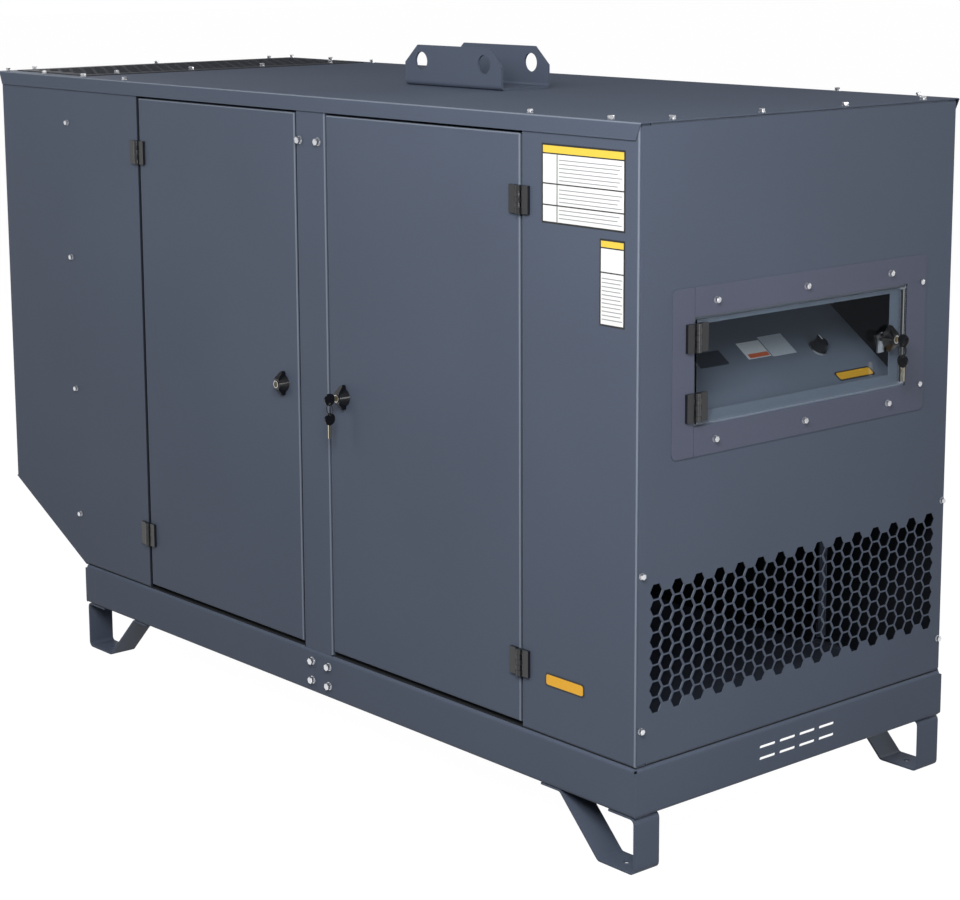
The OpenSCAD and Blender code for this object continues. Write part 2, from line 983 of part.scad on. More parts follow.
// Wing handle on the face y = 0, its wings above and below falling towards their tips, and its
// shaft reaching the latch cam inside
module wing_handle(reach) {
    tip = wing_span / 2;
    neck = tip - tip_width / 2;
    rotate([90, 0, 0])
        difference() {
            union() {
                translate([0, 0, shaft_play])
                    cylinder(d1 = handle_foot, d2 = collar, h = handle_height - shaft_play);
                intersection() {
                    translate([0, 0, shaft_play])
                        linear_extrude(handle_height)
                        for (side = [-1, 1]) {
                            translate([0, side * neck]) circle(d = tip_width);
                            polygon([
                                [-collar / 2, 0],
                                [collar / 2, 0],
                                [tip_width / 2, side * neck],
                                [-tip_width / 2, side * neck]
                            ]);
                        }
                    translate([-collar, 0, 0])
                        plate_yz(2 * collar)
                        polygon([
                            [-tip - overrun, 0],
                            [tip + overrun, 0],
                            [tip, tip_height],
                            [collar / 2, handle_height],
                            [-collar / 2, handle_height],
                            [-tip, tip_height]
                        ]);
                }
                translate([0, 0, -reach]) cylinder(d = shaft, h = reach + handle_height / 2);
            }
            translate([0, 0, handle_height - pocket])
                cylinder(d = barrel + 2 * shaft_play, h = pocket + overrun);
        }
}

// Key barrel in the pocket of the wing handle, with its key slot
module key_barrel() {
    rotate([90, 0, 0])
        difference() {
            translate([0, 0, handle_height - pocket + shaft_play])
                cylinder(d = barrel, h = pocket - shaft_play + barrel_proud);
            translate([0, 0, handle_height + barrel_proud])
                cube([
                    blade_thick + 2 * blade_play,
                    blade_width + 2 * blade_play,
                    2 * slot_depth
                ], center = true);
        }
}

// Latch cam behind the shaft, pointing down at rest
module latch_cam(reach, long) {
    width_at_shaft = shaft + 2;
    rotate([90, 0, 0])
        translate([0, 0, -reach - cam_plate])
        linear_extrude(cam_plate) {
            circle(d = width_at_shaft);
            translate([-width_at_shaft / 2, -long]) square([width_at_shaft, long]);
        }
}

// Reach of the shaft behind the outer face, so that the cam passes behind the frame
door_reach = fold + cam_gap;
door_cam = lock_inset + door_gap + cam_catch;
window_reach = pane + recess_depth + sheet + cam_gap;
window_cam = window_lock_inset + door_gap - recess_side + cam_catch;

module left_lock_place() {
    at_front() translate([left_lock_x, 0, lock_z]) children();
}

module right_lock_place() {
    at_front() translate([right_lock_x, 0, lock_z]) children();
}

module window_lock_place() {
    at_window() translate([half_pane - window_lock_inset, 0, window_z]) children();
}

module front_left_handle() {
    color(plastic) left_lock_place() wing_handle(door_reach);
}

module front_left_barrel() {
    color(zinc) left_lock_place() key_barrel();
}

module front_left_cam() {
    color(zinc) left_lock_place() latch_cam(door_reach, door_cam);
}

module front_right_handle() {
    color(plastic) right_lock_place() wing_handle(door_reach);
}

module front_right_barrel() {
    color(zinc) right_lock_place() key_barrel();
}

module front_right_cam() {
    color(zinc) right_lock_place() latch_cam(door_reach, door_cam);
}

module window_handle() {
    color(plastic) window_lock_place() wing_handle(window_reach);
}

module window_barrel() {
    color(zinc) window_lock_place() key_barrel();
}

module window_cam() {
    color(zinc) window_lock_place() latch_cam(window_reach, window_cam);
}

bow_hole = bow / 2 - ring_hole;

// Round bow in the plane x = 0 with its ring hole on the given side, 1 above or -1 below
module key_bow(side) {
    translate([-bow_thick / 2, 0, 0])
        plate_yz(bow_thick)
        difference() {
            circle(d = bow);
            translate([0, side * bow_hole]) circle(d = ring_hole);
        }
}

// The key in the barrel, its ring, and the second key that hangs from it, all in the plane x = 0
module keys() {
    front = handle_height + barrel_proud;
    bow_y = -front - bow / 2 - bow_reach;
    hang = (ring_hole - ring_wire) / 2;
    ring_z = -bow_hole - hang - ring_diameter / 2;
    hanging_z = ring_z - ring_diameter / 2 - hang - bow_hole;
    half_blade = [blade_thick / 2, blade_width / 2];
    translate([0, bow_y, 0]) key_bow(-1);
    span(
        [-half_blade[0], bow_y + bow / 2 - 1, -half_blade[1]],
        [half_blade[0], slot_depth - 2 * blade_play - front, half_blade[1]]
    );
    translate([0, bow_y, ring_z])
        rotate([90, 0, 0])
        rotate_extrude()
        translate([ring_diameter / 2, 0]) circle(d = ring_wire, $fn = 16);
    translate([0, bow_y, hanging_z]) {
        key_bow(1);
        span(
            [-half_blade[0], -half_blade[1], -bow / 2 - blade],
            [half_blade[0], half_blade[1], 1 - bow / 2]
        );
    }
}

module front_right_keys() {
    color(plastic) right_lock_place() keys();
}

module window_keys() {
    color(plastic) window_lock_place() keys();
}

module back_locks() {
    color(plastic)
        at_back()
        for (x = [left_lock_x, right_lock_x])
            translate([x, 0, lock_z]) {
                wing_handle(door_reach);
                key_barrel();
            }
}

// ---- Control window ----

// Plate round the window opening, with the hinge strip as a plate of its own
module window_surround() {
    color(paint)
        translate([right_skin, 0, window_z])
        plate_yz(sheet)
        difference() {
            rounded_square([surround_width, surround_height], surround_radius);
            square([window_width, window_height], center = true);
            translate([-half_window - surround_joint, -surround_height])
                square([surround_joint, 2 * surround_height]);
        }
}

// Recessed frame behind the pane, with a flange behind the end panel
module window_recess() {
    back = right_skin - sheet;
    flange = sheet + recess_flange;
    inner_high = window_high - recess_top;
    inner_low = window_low + recess_bottom;
    color(paint)
        difference() {
            union() {
                span(
                    [back - sheet, -half_window - flange, window_low - flange],
                    [back, half_window + flange, window_high + flange]
                );
                span(
                    [recess_face - sheet, -half_window - sheet, window_low - sheet],
                    [back, half_window + sheet, window_high + sheet]
                );
            }
            span(
                [recess_face, -half_window, window_low],
                [back + overrun, half_window, window_high]
            );
            span(
                [recess_face - sheet - overrun, -half_window, inner_low],
                [back, half_window - recess_side, inner_high]
            );
        }
}

module window_pane() {
    color([0.7, 0.75, 0.78, 0.35])
        at_window()
        difference() {
            span([-half_pane, 0, window_low + door_gap], [half_pane, pane, window_high - door_gap]);
            translate([half_pane - window_lock_inset, 0, window_z])
                rotate([90, 0, 0])
                cylinder(d = shaft + 2 * shaft_play, h = 4 * pane, center = true);
        }
}

// ---- Control console ----

// The console's top face: +X along the console, +Y up the slope, Z out of the panel
module on_console() {
    translate([console_front, 0, console_low])
        rotate([0, console_slope, 0])
        rotate([0, 0, 90])
        children();
}

module console_panel() {
    color(dark_paint)
        on_console()
        difference() {
            translate([-console_width / 2, 0, 0])
                rotate([90, 0, 90])
                linear_extrude(console_width)
                folded_section([
                    [sheet / 2, -console_lip],
                    [sheet / 2, -sheet / 2],
                    [console_length - sheet / 2, -sheet / 2],
                    [console_length - sheet / 2, -console_lip]
                ], sheet, bend);
            translate([selector_offset, selector_rise, -2 * sheet])
                cylinder(d = selector_shaft + 2 * shaft_play, h = 4 * sheet);
        }
}

// Cheeks at both ends of the console, bolted behind the end panel below the window
module console_brackets() {
    back = right_skin - sheet;
    tab_high = window_low - cheek_tab;
    tab_low = tab_high - 2 * cheek_tab;
    far = [
        console_front - console_length * cos(console_slope),
        console_low + console_length * sin(console_slope)
    ];
    color(dark_paint)
        for (side = [0, 1])
            mirror([0, side, 0])
                translate([0, console_width / 2, 0]) {
                    plate_xz(sheet)
                        polygon([
                            [back, tab_low],
                            [back, tab_high],
                            [console_front, console_low],
                            far,
                            far - [0, 2 * cheek_tab]
                        ]);
                    span([back - sheet, 0, tab_low], [back, cheek_tab, tab_high]);
                }
}

module console_display() {
    color([0.1, 0.11, 0.13])
        on_console()
        translate([display_offset - display_width / 2, display_rise - display_height / 2, 0])
        cube([display_width, display_height, display_thick]);
}

// Knob with a pointer bar across its top and a shaft through the console panel
module selector_knob() {
    taper = 3;
    bar_half = [selector_bar / 2, selector / 2 - 1];
    bar_high = selector_height + 3;
    below = sheet + cam_gap;
    color(plastic)
        on_console()
        translate([selector_offset, selector_rise, 0]) {
            translate([0, 0, shaft_play])
                cylinder(d1 = selector, d2 = selector - 2 * taper, h = selector_height - shaft_play);
            span(
                [-bar_half[0], -bar_half[1], selector_height - 1],
                [bar_half[0], bar_half[1], bar_high]
            );
            translate([0, 0, -below]) cylinder(d = selector_shaft, h = below + selector_height / 2);
        }
}

base_rail_front();
base_rail_back();
base_rail_right();
base_rail_left();
floor_pan();
foam_strip();
foot_front_right();
foot_front_left();
foot_back_right();
foot_back_left();
front_left_panel();
front_center_post();
front_right_panel();
front_cross_rails();
back_left_panel();
back_center_post();
back_right_panel();
back_cross_rails();
right_end_panel();
left_end_panel();
left_slope_panel();
roof_panel();
roof_vent_panel();
lifting_bracket();
front_left_door();
front_right_door();
back_left_door();
back_right_door();
front_left_frame_leaves();
front_left_door_leaves();
front_right_frame_leaves();
front_right_door_leaves();
back_hinges();
window_frame_leaves();
window_door_leaves();
front_left_handle();
front_left_barrel();
front_left_cam();
front_right_handle();
front_right_barrel();
front_right_cam();
front_right_keys();
window_handle();
window_barrel();
window_cam();
window_keys();
back_locks();
window_surround();
window_recess();
window_pane();
console_panel();
console_brackets();
console_display();
selector_knob();
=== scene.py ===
# %% [markdown]
# # A gas generator in its canopy
#
# The CAD model already has every folded sheet, hinge, lock and foot at its true size. This lesson
# dresses it in Blender: it gives each metal and plastic its finish, adds the bolts, labels and
# small console parts that the CAD leaves out, and sets up a plain studio. Everything is in metres,
# in the CAD's own frame, so a bolt goes where the sheet says and nothing has to be fitted by eye.

# %% Load the CAD frame
import json
import math

import bmesh
import bpy
from mathutils import Matrix, Vector

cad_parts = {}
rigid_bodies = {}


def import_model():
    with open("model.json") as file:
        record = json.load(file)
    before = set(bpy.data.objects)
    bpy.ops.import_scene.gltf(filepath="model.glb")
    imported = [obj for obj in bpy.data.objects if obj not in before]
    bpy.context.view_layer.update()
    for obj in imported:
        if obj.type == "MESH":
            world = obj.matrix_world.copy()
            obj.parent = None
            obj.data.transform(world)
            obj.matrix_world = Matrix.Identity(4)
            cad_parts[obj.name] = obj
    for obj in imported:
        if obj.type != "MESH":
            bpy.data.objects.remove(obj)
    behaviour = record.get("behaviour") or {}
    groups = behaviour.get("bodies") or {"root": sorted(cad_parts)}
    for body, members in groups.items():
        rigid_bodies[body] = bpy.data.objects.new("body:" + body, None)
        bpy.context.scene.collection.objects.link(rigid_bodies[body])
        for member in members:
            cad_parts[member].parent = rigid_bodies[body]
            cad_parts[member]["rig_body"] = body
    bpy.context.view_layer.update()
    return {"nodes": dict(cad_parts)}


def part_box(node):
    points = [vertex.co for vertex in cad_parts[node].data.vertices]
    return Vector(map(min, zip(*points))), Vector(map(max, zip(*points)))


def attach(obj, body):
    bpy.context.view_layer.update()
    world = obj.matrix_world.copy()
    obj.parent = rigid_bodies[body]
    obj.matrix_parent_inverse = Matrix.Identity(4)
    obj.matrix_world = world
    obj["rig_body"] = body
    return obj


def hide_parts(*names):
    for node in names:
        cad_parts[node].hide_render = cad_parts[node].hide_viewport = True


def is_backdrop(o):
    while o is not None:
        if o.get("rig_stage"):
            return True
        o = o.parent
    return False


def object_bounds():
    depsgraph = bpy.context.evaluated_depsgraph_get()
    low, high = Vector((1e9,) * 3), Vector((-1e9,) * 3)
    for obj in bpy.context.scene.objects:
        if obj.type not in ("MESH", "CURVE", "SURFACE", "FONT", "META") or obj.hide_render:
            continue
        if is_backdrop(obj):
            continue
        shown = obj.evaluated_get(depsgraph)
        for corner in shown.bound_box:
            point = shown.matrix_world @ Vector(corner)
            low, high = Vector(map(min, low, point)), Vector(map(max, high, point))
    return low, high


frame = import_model()
scene = bpy.context.scene
MM = 0.001


def rounded(point):
    """A point in tenths of a millimetre, for printing."""
    return [round(c, 4) for c in point]


# %% [markdown]
# ## Measure the sheets
#
# Bolts and labels sit on faces, so the lesson first reads where those faces are. A node's box gives
# its lowest and highest corner. Reading it is better than typing a number again, because the pieces
# then follow the CAD when it changes.

# %% Read the faces of the canopy
front_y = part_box("front_left_panel")[0].y
back_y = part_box("back_left_panel")[1].y
rail_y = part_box("base_rail_front")[0].y
roof_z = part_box("roof_panel")[1].z
vent_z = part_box("roof_vent_panel")[1].z
end_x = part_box("right_end_panel")[1].x
left_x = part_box("left_end_panel")[0].x
surround_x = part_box("window_surround")[1].x
print(f"front {front_y:.4f}, roof {roof_z:.4f}, right end {end_x:.4f}, left end {left_x:.4f}")

# %% [markdown]
# ## Colour and node helpers
#
# Hex colours are written for a screen, and the renderer adds light in linear numbers, so one
# function turns the first into the second. A second function adds a node, sets it and links it in
# one line. That keeps a material readable from top to bottom, as a recipe.

# %% Turn hex colours into linear ones
def srgb(code, brightness=1.0):
    """Linear RGBA of a hex colour, made brighter or darker by a factor."""
    channels = [int(code[i:i + 2], 16) / 255 for i in (1, 3, 5)]
    linear = [c / 12.92 if c <= 0.04045 else ((c + 0.055) / 1.055) ** 2.4 for c in channels]
    return (*[c * brightness for c in linear], 1.0)


# %% Add a node with its settings and links
def add_node(tree, kind, inputs=None, ramp=(), **settings):
    """A node with its settings. An input is linked if it is given a socket, and set if a value."""
    node = tree.nodes.new(kind)
    for name, value in settings.items():
        setattr(node, name, value)
    for socket, value in (inputs or {}).items():
        if isinstance(value, bpy.types.NodeSocket):
            tree.links.new(value, node.inputs[socket])
        else:
            node.inputs[socket].default_value = value
    for index, (position, colour) in enumerate(ramp):
        node.color_ramp.elements[index].position = position
        node.color_ramp.elements[index].color = colour
    return node


# %% Open and close a material
def new_finish(name):
    """An empty material, its node tree, and the Object coordinates that its patterns read."""
    finish = bpy.data.materials.new(name)
    finish.use_nodes = True
    finish.node_tree.nodes.clear()
    place = add_node(finish.node_tree, "ShaderNodeTexCoord").outputs["Object"]
    return finish, finish.node_tree, place


def close_finish(finish, shader):
    """Links the last shader of a recipe to the material's output."""
    add_node(finish.node_tree, "ShaderNodeOutputMaterial", {"Surface": shader})
    print("finish:", finish.name)
    return finish


# %% [markdown]
# ## Powder-coated steel
#
# The canopy is folded from steel sheet and powder coated in slate grey. The powder melts into a
# satin skin with a faint orange peel, and the sheet under it is never quite flat, so reflections
# wander a little over a large door. Peel is 1 to 3 mm from bump to bump, too fine to show here, and
# is drawn at 5 mm. The colour drifts by a few percent, because the coat is not equally thick. A
# bend gets a paler colour, a painted highlight that draws a light line along each folded edge. A
# bend is where the surface faces between two axes. Slanted pieces and the base have the plain coat,
# without that painted highlight. Faces that look into the canopy get a dark colour, painted shade
# for the dim inside of the canopy.

# %% Find the bends and the inner faces, where highlight and shade are painted
BEND_MIDDLE, BEND_END = 0.74, 0.95  # the normal's largest part, at the middle of a bend and its end
CANOPY_MIDDLE = (0.0, 0.0, 0.75)


def bend_highlight_share(tree, place):
    """1 on the middle of a bend, for the painted highlight; 0 on a face that looks along an axis.
    """
    facing = add_node(tree, "ShaderNodeVectorMath", {0: place.node.outputs["Normal"]},
                      operation="ABSOLUTE")
    along = add_node(tree, "ShaderNodeSeparateXYZ", {0: facing.outputs[0]})
    level = add_node(tree, "ShaderNodeMath", {0: along.outputs["X"], 1: along.outputs["Y"]},
                     operation="MAXIMUM")
    most = add_node(tree, "ShaderNodeMath", {0: level.outputs[0], 1: along.outputs["Z"]},
                    operation="MAXIMUM")
    share = add_node(tree, "ShaderNodeMapRange",
                     {"Value": most.outputs[0], "From Min": BEND_MIDDLE, "From Max": BEND_END,
                      "To Min": 1.0, "To Max": 0.0})
    return share.outputs["Result"]


def inner_shade_share(tree, place):
    """1 where a face looks towards the middle of the canopy, for the painted shade."""
    away = add_node(tree, "ShaderNodeVectorMath", {0: place, 1: CANOPY_MIDDLE},
                    operation="SUBTRACT")
    outward = add_node(tree, "ShaderNodeVectorMath",
                       {0: place.node.outputs["Normal"], 1: away.outputs[0]},
                       operation="DOT_PRODUCT")
    inward = add_node(tree, "ShaderNodeMath", {0: outward.outputs["Value"], 1: 0.0},
                      operation="LESS_THAN")
    return inward.outputs[0]


# %% Powder coat recipe
PEEL, SPECKLE, SHEET_WAVE = 5 * MM, 2.5 * MM, 380 * MM
PEEL_HEIGHT, WAVE_HEIGHT = 0.03 * MM, 1.5 * MM
COAT_SMOOTH, COAT_ROUGH, COAT_GLOSS = 0.47, 0.55, 0.12


def powder_coat(name, colour, bend_highlight_colour=None, inner_shade_colour=None):
    """A satin coat, which may have a painted highlight on its bends and painted shade inside."""
    finish, tree, place = new_finish(name)
    drift = add_node(tree, "ShaderNodeTexNoise",
                     {"Vector": place, "Scale": 1 / SHEET_WAVE, "Detail": 2.0})
    speckle = add_node(tree, "ShaderNodeTexNoise",
                       {"Vector": place, "Scale": 1 / SPECKLE, "Detail": 1.0})
    both = add_node(tree, "ShaderNodeMath", {0: drift.outputs["Fac"], 1: speckle.outputs["Fac"]},
                    operation="ADD")
    half = add_node(tree, "ShaderNodeMath", {0: both.outputs[0], 1: 0.5}, operation="MULTIPLY")
    tone = add_node(tree, "ShaderNodeValToRGB", {"Fac": half.outputs[0]},
                    ramp=((0.30, srgb(colour, 0.93)), (0.70, srgb(colour, 1.07))))
    tone = tone.outputs["Color"]
    for other_colour, share in ((bend_highlight_colour, bend_highlight_share), (inner_shade_colour, inner_shade_share)):
        if other_colour:
            mix = add_node(tree, "ShaderNodeMix",
                           {0: share(tree, place), 6: tone, 7: srgb(other_colour)},
                           data_type="RGBA")
            tone = mix.outputs[2]
    peel = add_node(tree, "ShaderNodeTexNoise",
                    {"Vector": place, "Scale": 1 / PEEL, "Detail": 1.0})
    wave = add_node(tree, "ShaderNodeBump",
                    {"Height": drift.outputs["Fac"], "Distance": WAVE_HEIGHT})
    skin = add_node(tree, "ShaderNodeBump",
                    {"Height": peel.outputs["Fac"], "Distance": PEEL_HEIGHT,
                     "Normal": wave.outputs["Normal"]})
    satin = add_node(tree, "ShaderNodeMapRange",
                     {"Value": peel.outputs["Fac"], "To Min": COAT_SMOOTH, "To Max": COAT_ROUGH})
    coat = add_node(tree, "ShaderNodeBsdfPrincipled",
                    {"Base Color": tone, "Roughness": satin.outputs["Result"],
                     "Specular IOR Level": COAT_GLOSS, "Normal": skin.outputs["Normal"]})
    return close_finish(finish, coat.outputs["BSDF"])


# The slate coat: painted highlight on its bends, painted shade on its inner faces.
canopy_coat = powder_coat("powder_coated_steel_slate", "#505867", "#848c97", "#202329")
plain_coat = powder_coat("powder_coated_steel_plain", "#4f5766")
surround_coat = powder_coat("powder_coated_steel_surround", "#555969")
inner_coat = powder_coat("powder_coated_steel_inner", "#484f5e")
# Console and recess: paler copies of the slate coat, painted light that lifts the shade in the
# recess.
console_coat_painted_light = powder_coat("powder_coated_steel_console_painted_light", "#6d737e")
recess_coat_painted_light = powder_coat("powder_coated_steel_recess_painted_light", "#808792")
vent_coat = powder_coat("powder_coated_steel_vent", "#37393e")

# %% [markdown]
# ## Moulded plastics
#
# Hinges are injection-moulded in glass-filled polyamide, which comes out of the tool with a fine
# matt grain. The wing handles and the knob are the same black plastic from a polished tool, so they
# shine. The display is a tinted acrylic. All share one recipe, and only the colour, the depth of
# the grain, the roughness and the gloss differ.

# %% Plastic recipe
GRAIN = 1.2 * MM
ROUGHNESS_SPREAD = 0.05


def moulded_plastic(name, colour, roughness, grain_depth, gloss):
    """A moulded skin whose grain lifts it and changes its colour and roughness a little."""
    finish, tree, place = new_finish(name)
    grain = add_node(tree, "ShaderNodeTexNoise",
                     {"Vector": place, "Scale": 1 / GRAIN, "Detail": 2.0})
    tone = add_node(tree, "ShaderNodeValToRGB", {"Fac": grain.outputs["Fac"]},
                    ramp=((0.3, srgb(colour, 0.85)), (0.7, srgb(colour, 1.15))))
    skin = add_node(tree, "ShaderNodeBump",
                    {"Height": grain.outputs["Fac"], "Distance": grain_depth})
    satin = add_node(tree, "ShaderNodeMapRange",
                     {"Value": grain.outputs["Fac"], "To Min": roughness - ROUGHNESS_SPREAD,
                      "To Max": roughness + ROUGHNESS_SPREAD})
    shell = add_node(tree, "ShaderNodeBsdfPrincipled",
                     {"Base Color": tone.outputs["Color"], "Roughness": satin.outputs["Result"],
                      "Specular IOR Level": gloss, "IOR": 1.53, "Normal": skin.outputs["Normal"]})
    return close_finish(finish, shell.outputs["BSDF"])


hinge_plastic = moulded_plastic("polyamide_moulded_matt", "#17181b", 0.30, 0.02 * MM, 0.55)
handle_plastic = moulded_plastic("polyamide_moulded_polished", "#0b0c0f", 0.17, 0.004 * MM, 0.45)
screen_plastic = moulded_plastic("acrylic_tinted_polished", "#2b2f38", 0.30, 0.002 * MM, 0.1)

# %% [markdown]
# ## Plated metal
#
# Bolts and washers are steel with bright zinc on them. Lock barrels and keys are nickel-plated
# brass, and the barrels have a darker, rougher plating than the keys. A plated metal is all
# reflection: metallic is 1, the colour is the metal's own, and the roughness says how fine the
# plating is. Zinc crystallises in small patches, so its roughness is mottled.

# %% Plated metal recipe
PLATING_RELIEF = 0.02 * MM


def plated_metal(name, colour, smooth, rough, patch):
    """A plating whose roughness changes from patch to patch between two values."""
    finish, tree, place = new_finish(name)
    mottle = add_node(tree, "ShaderNodeTexNoise",
                      {"Vector": place, "Scale": 1 / patch, "Detail": 2.0})
    tone = add_node(tree, "ShaderNodeValToRGB", {"Fac": mottle.outputs["Fac"]},
                    ramp=((0.3, srgb(colour, 0.9)), (0.7, srgb(colour, 1.05))))
    satin = add_node(tree, "ShaderNodeMapRange",
                     {"Value": mottle.outputs["Fac"], "To Min": smooth, "To Max": rough})
    skin = add_node(tree, "ShaderNodeBump",
                    {"Height": mottle.outputs["Fac"], "Distance": PLATING_RELIEF})
    metal = add_node(tree, "ShaderNodeBsdfPrincipled",
                     {"Base Color": tone.outputs["Color"], "Roughness": satin.outputs["Result"],
                      "Metallic": 1.0, "Normal": skin.outputs["Normal"]})
    return close_finish(finish, metal.outputs["BSDF"])


zinc_plate = plated_metal("steel_zinc_plated", "#dcdde0", 0.22, 0.38, 2 * MM)
key_nickel = plated_metal("brass_nickel_plated", "#d8cfb8", 0.15, 0.25, 3 * MM)
lock_nickel = plated_metal("brass_nickel_darker", "#6f6858", 0.35, 0.45, 2 * MM)

# %% [markdown]
# ## Foam and clear sheet
#
# The canopy stands on a strip of closed-cell foam rubber, which is nearly black and has no shine.
# The window is clear polycarbonate. A clear sheet would throw a dark shadow in a path tracer, so
# shadow and diffuse rays pass it through a transparent shader, and every other ray sees the real
# refraction. The sheet is extruded between polished rollers, so its roughness is nearly 0.

# %% Foam rubber
CELL, PORE_DEPTH = 1.5 * MM, 0.3 * MM


def foam_rubber():
    """A dark foam with the pits of its cut cells."""
    finish, tree, place = new_finish("foam_rubber_closed_cell")
    cells = add_node(tree, "ShaderNodeTexVoronoi", {"Vector": place, "Scale": 1 / CELL})
    tone = add_node(tree, "ShaderNodeValToRGB", {"Fac": cells.outputs["Distance"]},
                    ramp=((0.0, srgb("#161719")), (0.6, srgb("#26282b"))))
    pores = add_node(tree, "ShaderNodeBump",
                     {"Height": cells.outputs["Distance"], "Distance": PORE_DEPTH})
    rubber = add_node(tree, "ShaderNodeBsdfPrincipled",
                      {"Base Color": tone.outputs["Color"], "Roughness": 0.95,
                       "Normal": pores.outputs["Normal"]})
    return close_finish(finish, rubber.outputs["BSDF"])


strip_foam = foam_rubber()

# %% Clear polycarbonate
PANE_TINT = "#e9eef2"
HAZE_PATCH, HAZE_ROUGHNESS = 40 * MM, 0.01


def clear_sheet():
    """A clear sheet that refracts what is seen through it and lets light pass."""
    finish, tree, place = new_finish("polycarbonate_clear_extruded")
    haze = add_node(tree, "ShaderNodeTexNoise",
                    {"Vector": place, "Scale": 1 / HAZE_PATCH, "Detail": 2.0})
    gloss = add_node(tree, "ShaderNodeMapRange",
                     {"Value": haze.outputs["Fac"], "To Min": 0.0, "To Max": HAZE_ROUGHNESS})
    sheet = add_node(tree, "ShaderNodeBsdfPrincipled",
                     {"Base Color": srgb(PANE_TINT), "Roughness": gloss.outputs["Result"],
                      "IOR": 1.58, "Transmission Weight": 1.0})
    through = add_node(tree, "ShaderNodeBsdfTransparent", {"Color": srgb(PANE_TINT)})
    path = add_node(tree, "ShaderNodeLightPath")
    passing = add_node(tree, "ShaderNodeMath",
                       {0: path.outputs["Is Shadow Ray"], 1: path.outputs["Is Diffuse Ray"]},
                       operation="MAXIMUM")
    mixed = add_node(tree, "ShaderNodeMixShader",
                     {0: passing.outputs[0], 1: sheet.outputs["BSDF"], 2: through.outputs["BSDF"]})
    return close_finish(finish, mixed.outputs["Shader"])


pane_clear = clear_sheet()

# %% [markdown]
# ## Label vinyl
#
# Labels are screen-printed vinyl: flat colour under a thin satin film. They have no relief, so the
# recipe is a colour with a little unevenness in the ink, and a roughness that varies with it.

# %% Label vinyl recipe
INK_PATCH = 8 * MM
FILM_SMOOTH, FILM_ROUGH = 0.32, 0.42


def label_vinyl(colour_name, colour):
    """A printed colour under a satin film."""
    finish, tree, place = new_finish("vinyl_printed_" + colour_name)
    ink = add_node(tree, "ShaderNodeTexNoise",
                   {"Vector": place, "Scale": 1 / INK_PATCH, "Detail": 3.0})
    tone = add_node(tree, "ShaderNodeValToRGB", {"Fac": ink.outputs["Fac"]},
                    ramp=((0.3, srgb(colour, 0.96)), (0.7, srgb(colour, 1.0))))
    satin = add_node(tree, "ShaderNodeMapRange",
                     {"Value": ink.outputs["Fac"], "To Min": FILM_SMOOTH, "To Max": FILM_ROUGH})
    film = add_node(tree, "ShaderNodeBsdfPrincipled",
                    {"Base Color": tone.outputs["Color"], "Roughness": satin.outputs["Result"],
                     "IOR": 1.46})
    return close_finish(finish, film.outputs["BSDF"])


vinyl = {name: label_vinyl(name, code) for name, code in {
    "white": "#eeeeec", "yellow": "#e9c84a", "amber": "#eeb02c", "black": "#1d1e20",
    "grey": "#8e9297", "orange": "#e0693a", "silver": "#c9ccd0"}.items()}

# %% [markdown]
# ## Give the CAD nodes their finish
#
# Each CAD node arrives with a material named after its slot in the record. One table says which
# finish stands for which slot, and a second one names the few nodes that differ from their slot.

# %% Assign the finishes
slot_finish = {
    "canopy_paint": canopy_coat, "inner_paint": inner_coat, "foam": strip_foam,
    "black_plastic": hinge_plastic, "key_plastic": handle_plastic, "zinc": zinc_plate,
    "clear_pane": pane_clear, "display_plastic": screen_plastic,
}
node_finish = {
    "front_left_handle": handle_plastic, "front_right_handle": handle_plastic,
    "window_handle": handle_plastic, "selector_knob": handle_plastic,
    "left_slope_panel": plain_coat, "lifting_bracket": plain_coat,
    "console_panel": console_coat_painted_light, "console_brackets": console_coat_painted_light,
    "roof_vent_panel": vent_coat, "window_surround": surround_coat, "window_recess": recess_coat_painted_light,
}
for name, node in frame["nodes"].items():
    if name.startswith(("foot_", "base_")):
        node_finish[name] = plain_coat
    elif name.endswith("_barrel"):
        node_finish[name] = lock_nickel
    slot = node.material_slots[0].material.name
    node.material_slots[0].material = node_finish.get(name, slot_finish[slot])
print("finishes given to", len(frame["nodes"]), "nodes")

# %% [markdown]
# ## Helpers that make pieces
#
# A new piece is a bmesh that becomes an object at the origin, with its place in its mesh, as the
# CAD nodes have. It rides on a CAD body, so that it moves with it. A bolt is made once, standing on
# the ground and pointing up, and a matrix then stands it on each face.

# %% From a bmesh to a piece
def mesh_from(name, bm):
    """Empties a bmesh into a new mesh."""
    mesh = bpy.data.meshes.new(name)
    bm.to_mesh(mesh)
    bm.free()
    return mesh


def link_object(name, data):
    """A new object in the scene, at the origin, that holds the data."""
    made = bpy.data.objects.new(name, data)
    scene.collection.objects.link(made)
    return made


def add_piece(name, bm, finishes, body="canopy"):
    """Turns a bmesh into an object that rides on a body."""
    mesh = mesh_from(name, bm)
    for finish in finishes:
        mesh.materials.append(finish)
    piece = link_object(name, mesh)
    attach(piece, body)
    print("piece:", name, len(mesh.polygons), "faces, on", body)
    return piece


# %% Places, bodies and copies
ALONG_X, ALONG_Y, ALONG_Z = (1, 0, 0), (0, 1, 0), (0, 0, 1)


def metres(*numbers):
    """Millimetres turned into metres."""
    return tuple(n * MM for n in numbers)


def body_of(node):
    """The name of the body that a CAD node rides on."""
    return frame["nodes"][node]["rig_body"]


def standing_on(point, normal, turn=0.0):
    """The matrix that stands a shape made along +Z on a point of a face."""
    lean = Vector(normal).to_track_quat("Z", "Y").to_matrix().to_4x4()
    return Matrix.Translation(point) @ lean @ Matrix.Rotation(turn, 4, "Z")


def add_copies(name, template, places, finish):
    """One piece that holds the template mesh at every place."""
    bm = bmesh.new()
    for place in places:
        bm.from_mesh(template)
        bm.verts.ensure_lookup_table()
        bmesh.ops.transform(bm, matrix=place, verts=bm.verts[-len(template.vertices):])
    return add_piece(name, bm, [finish])


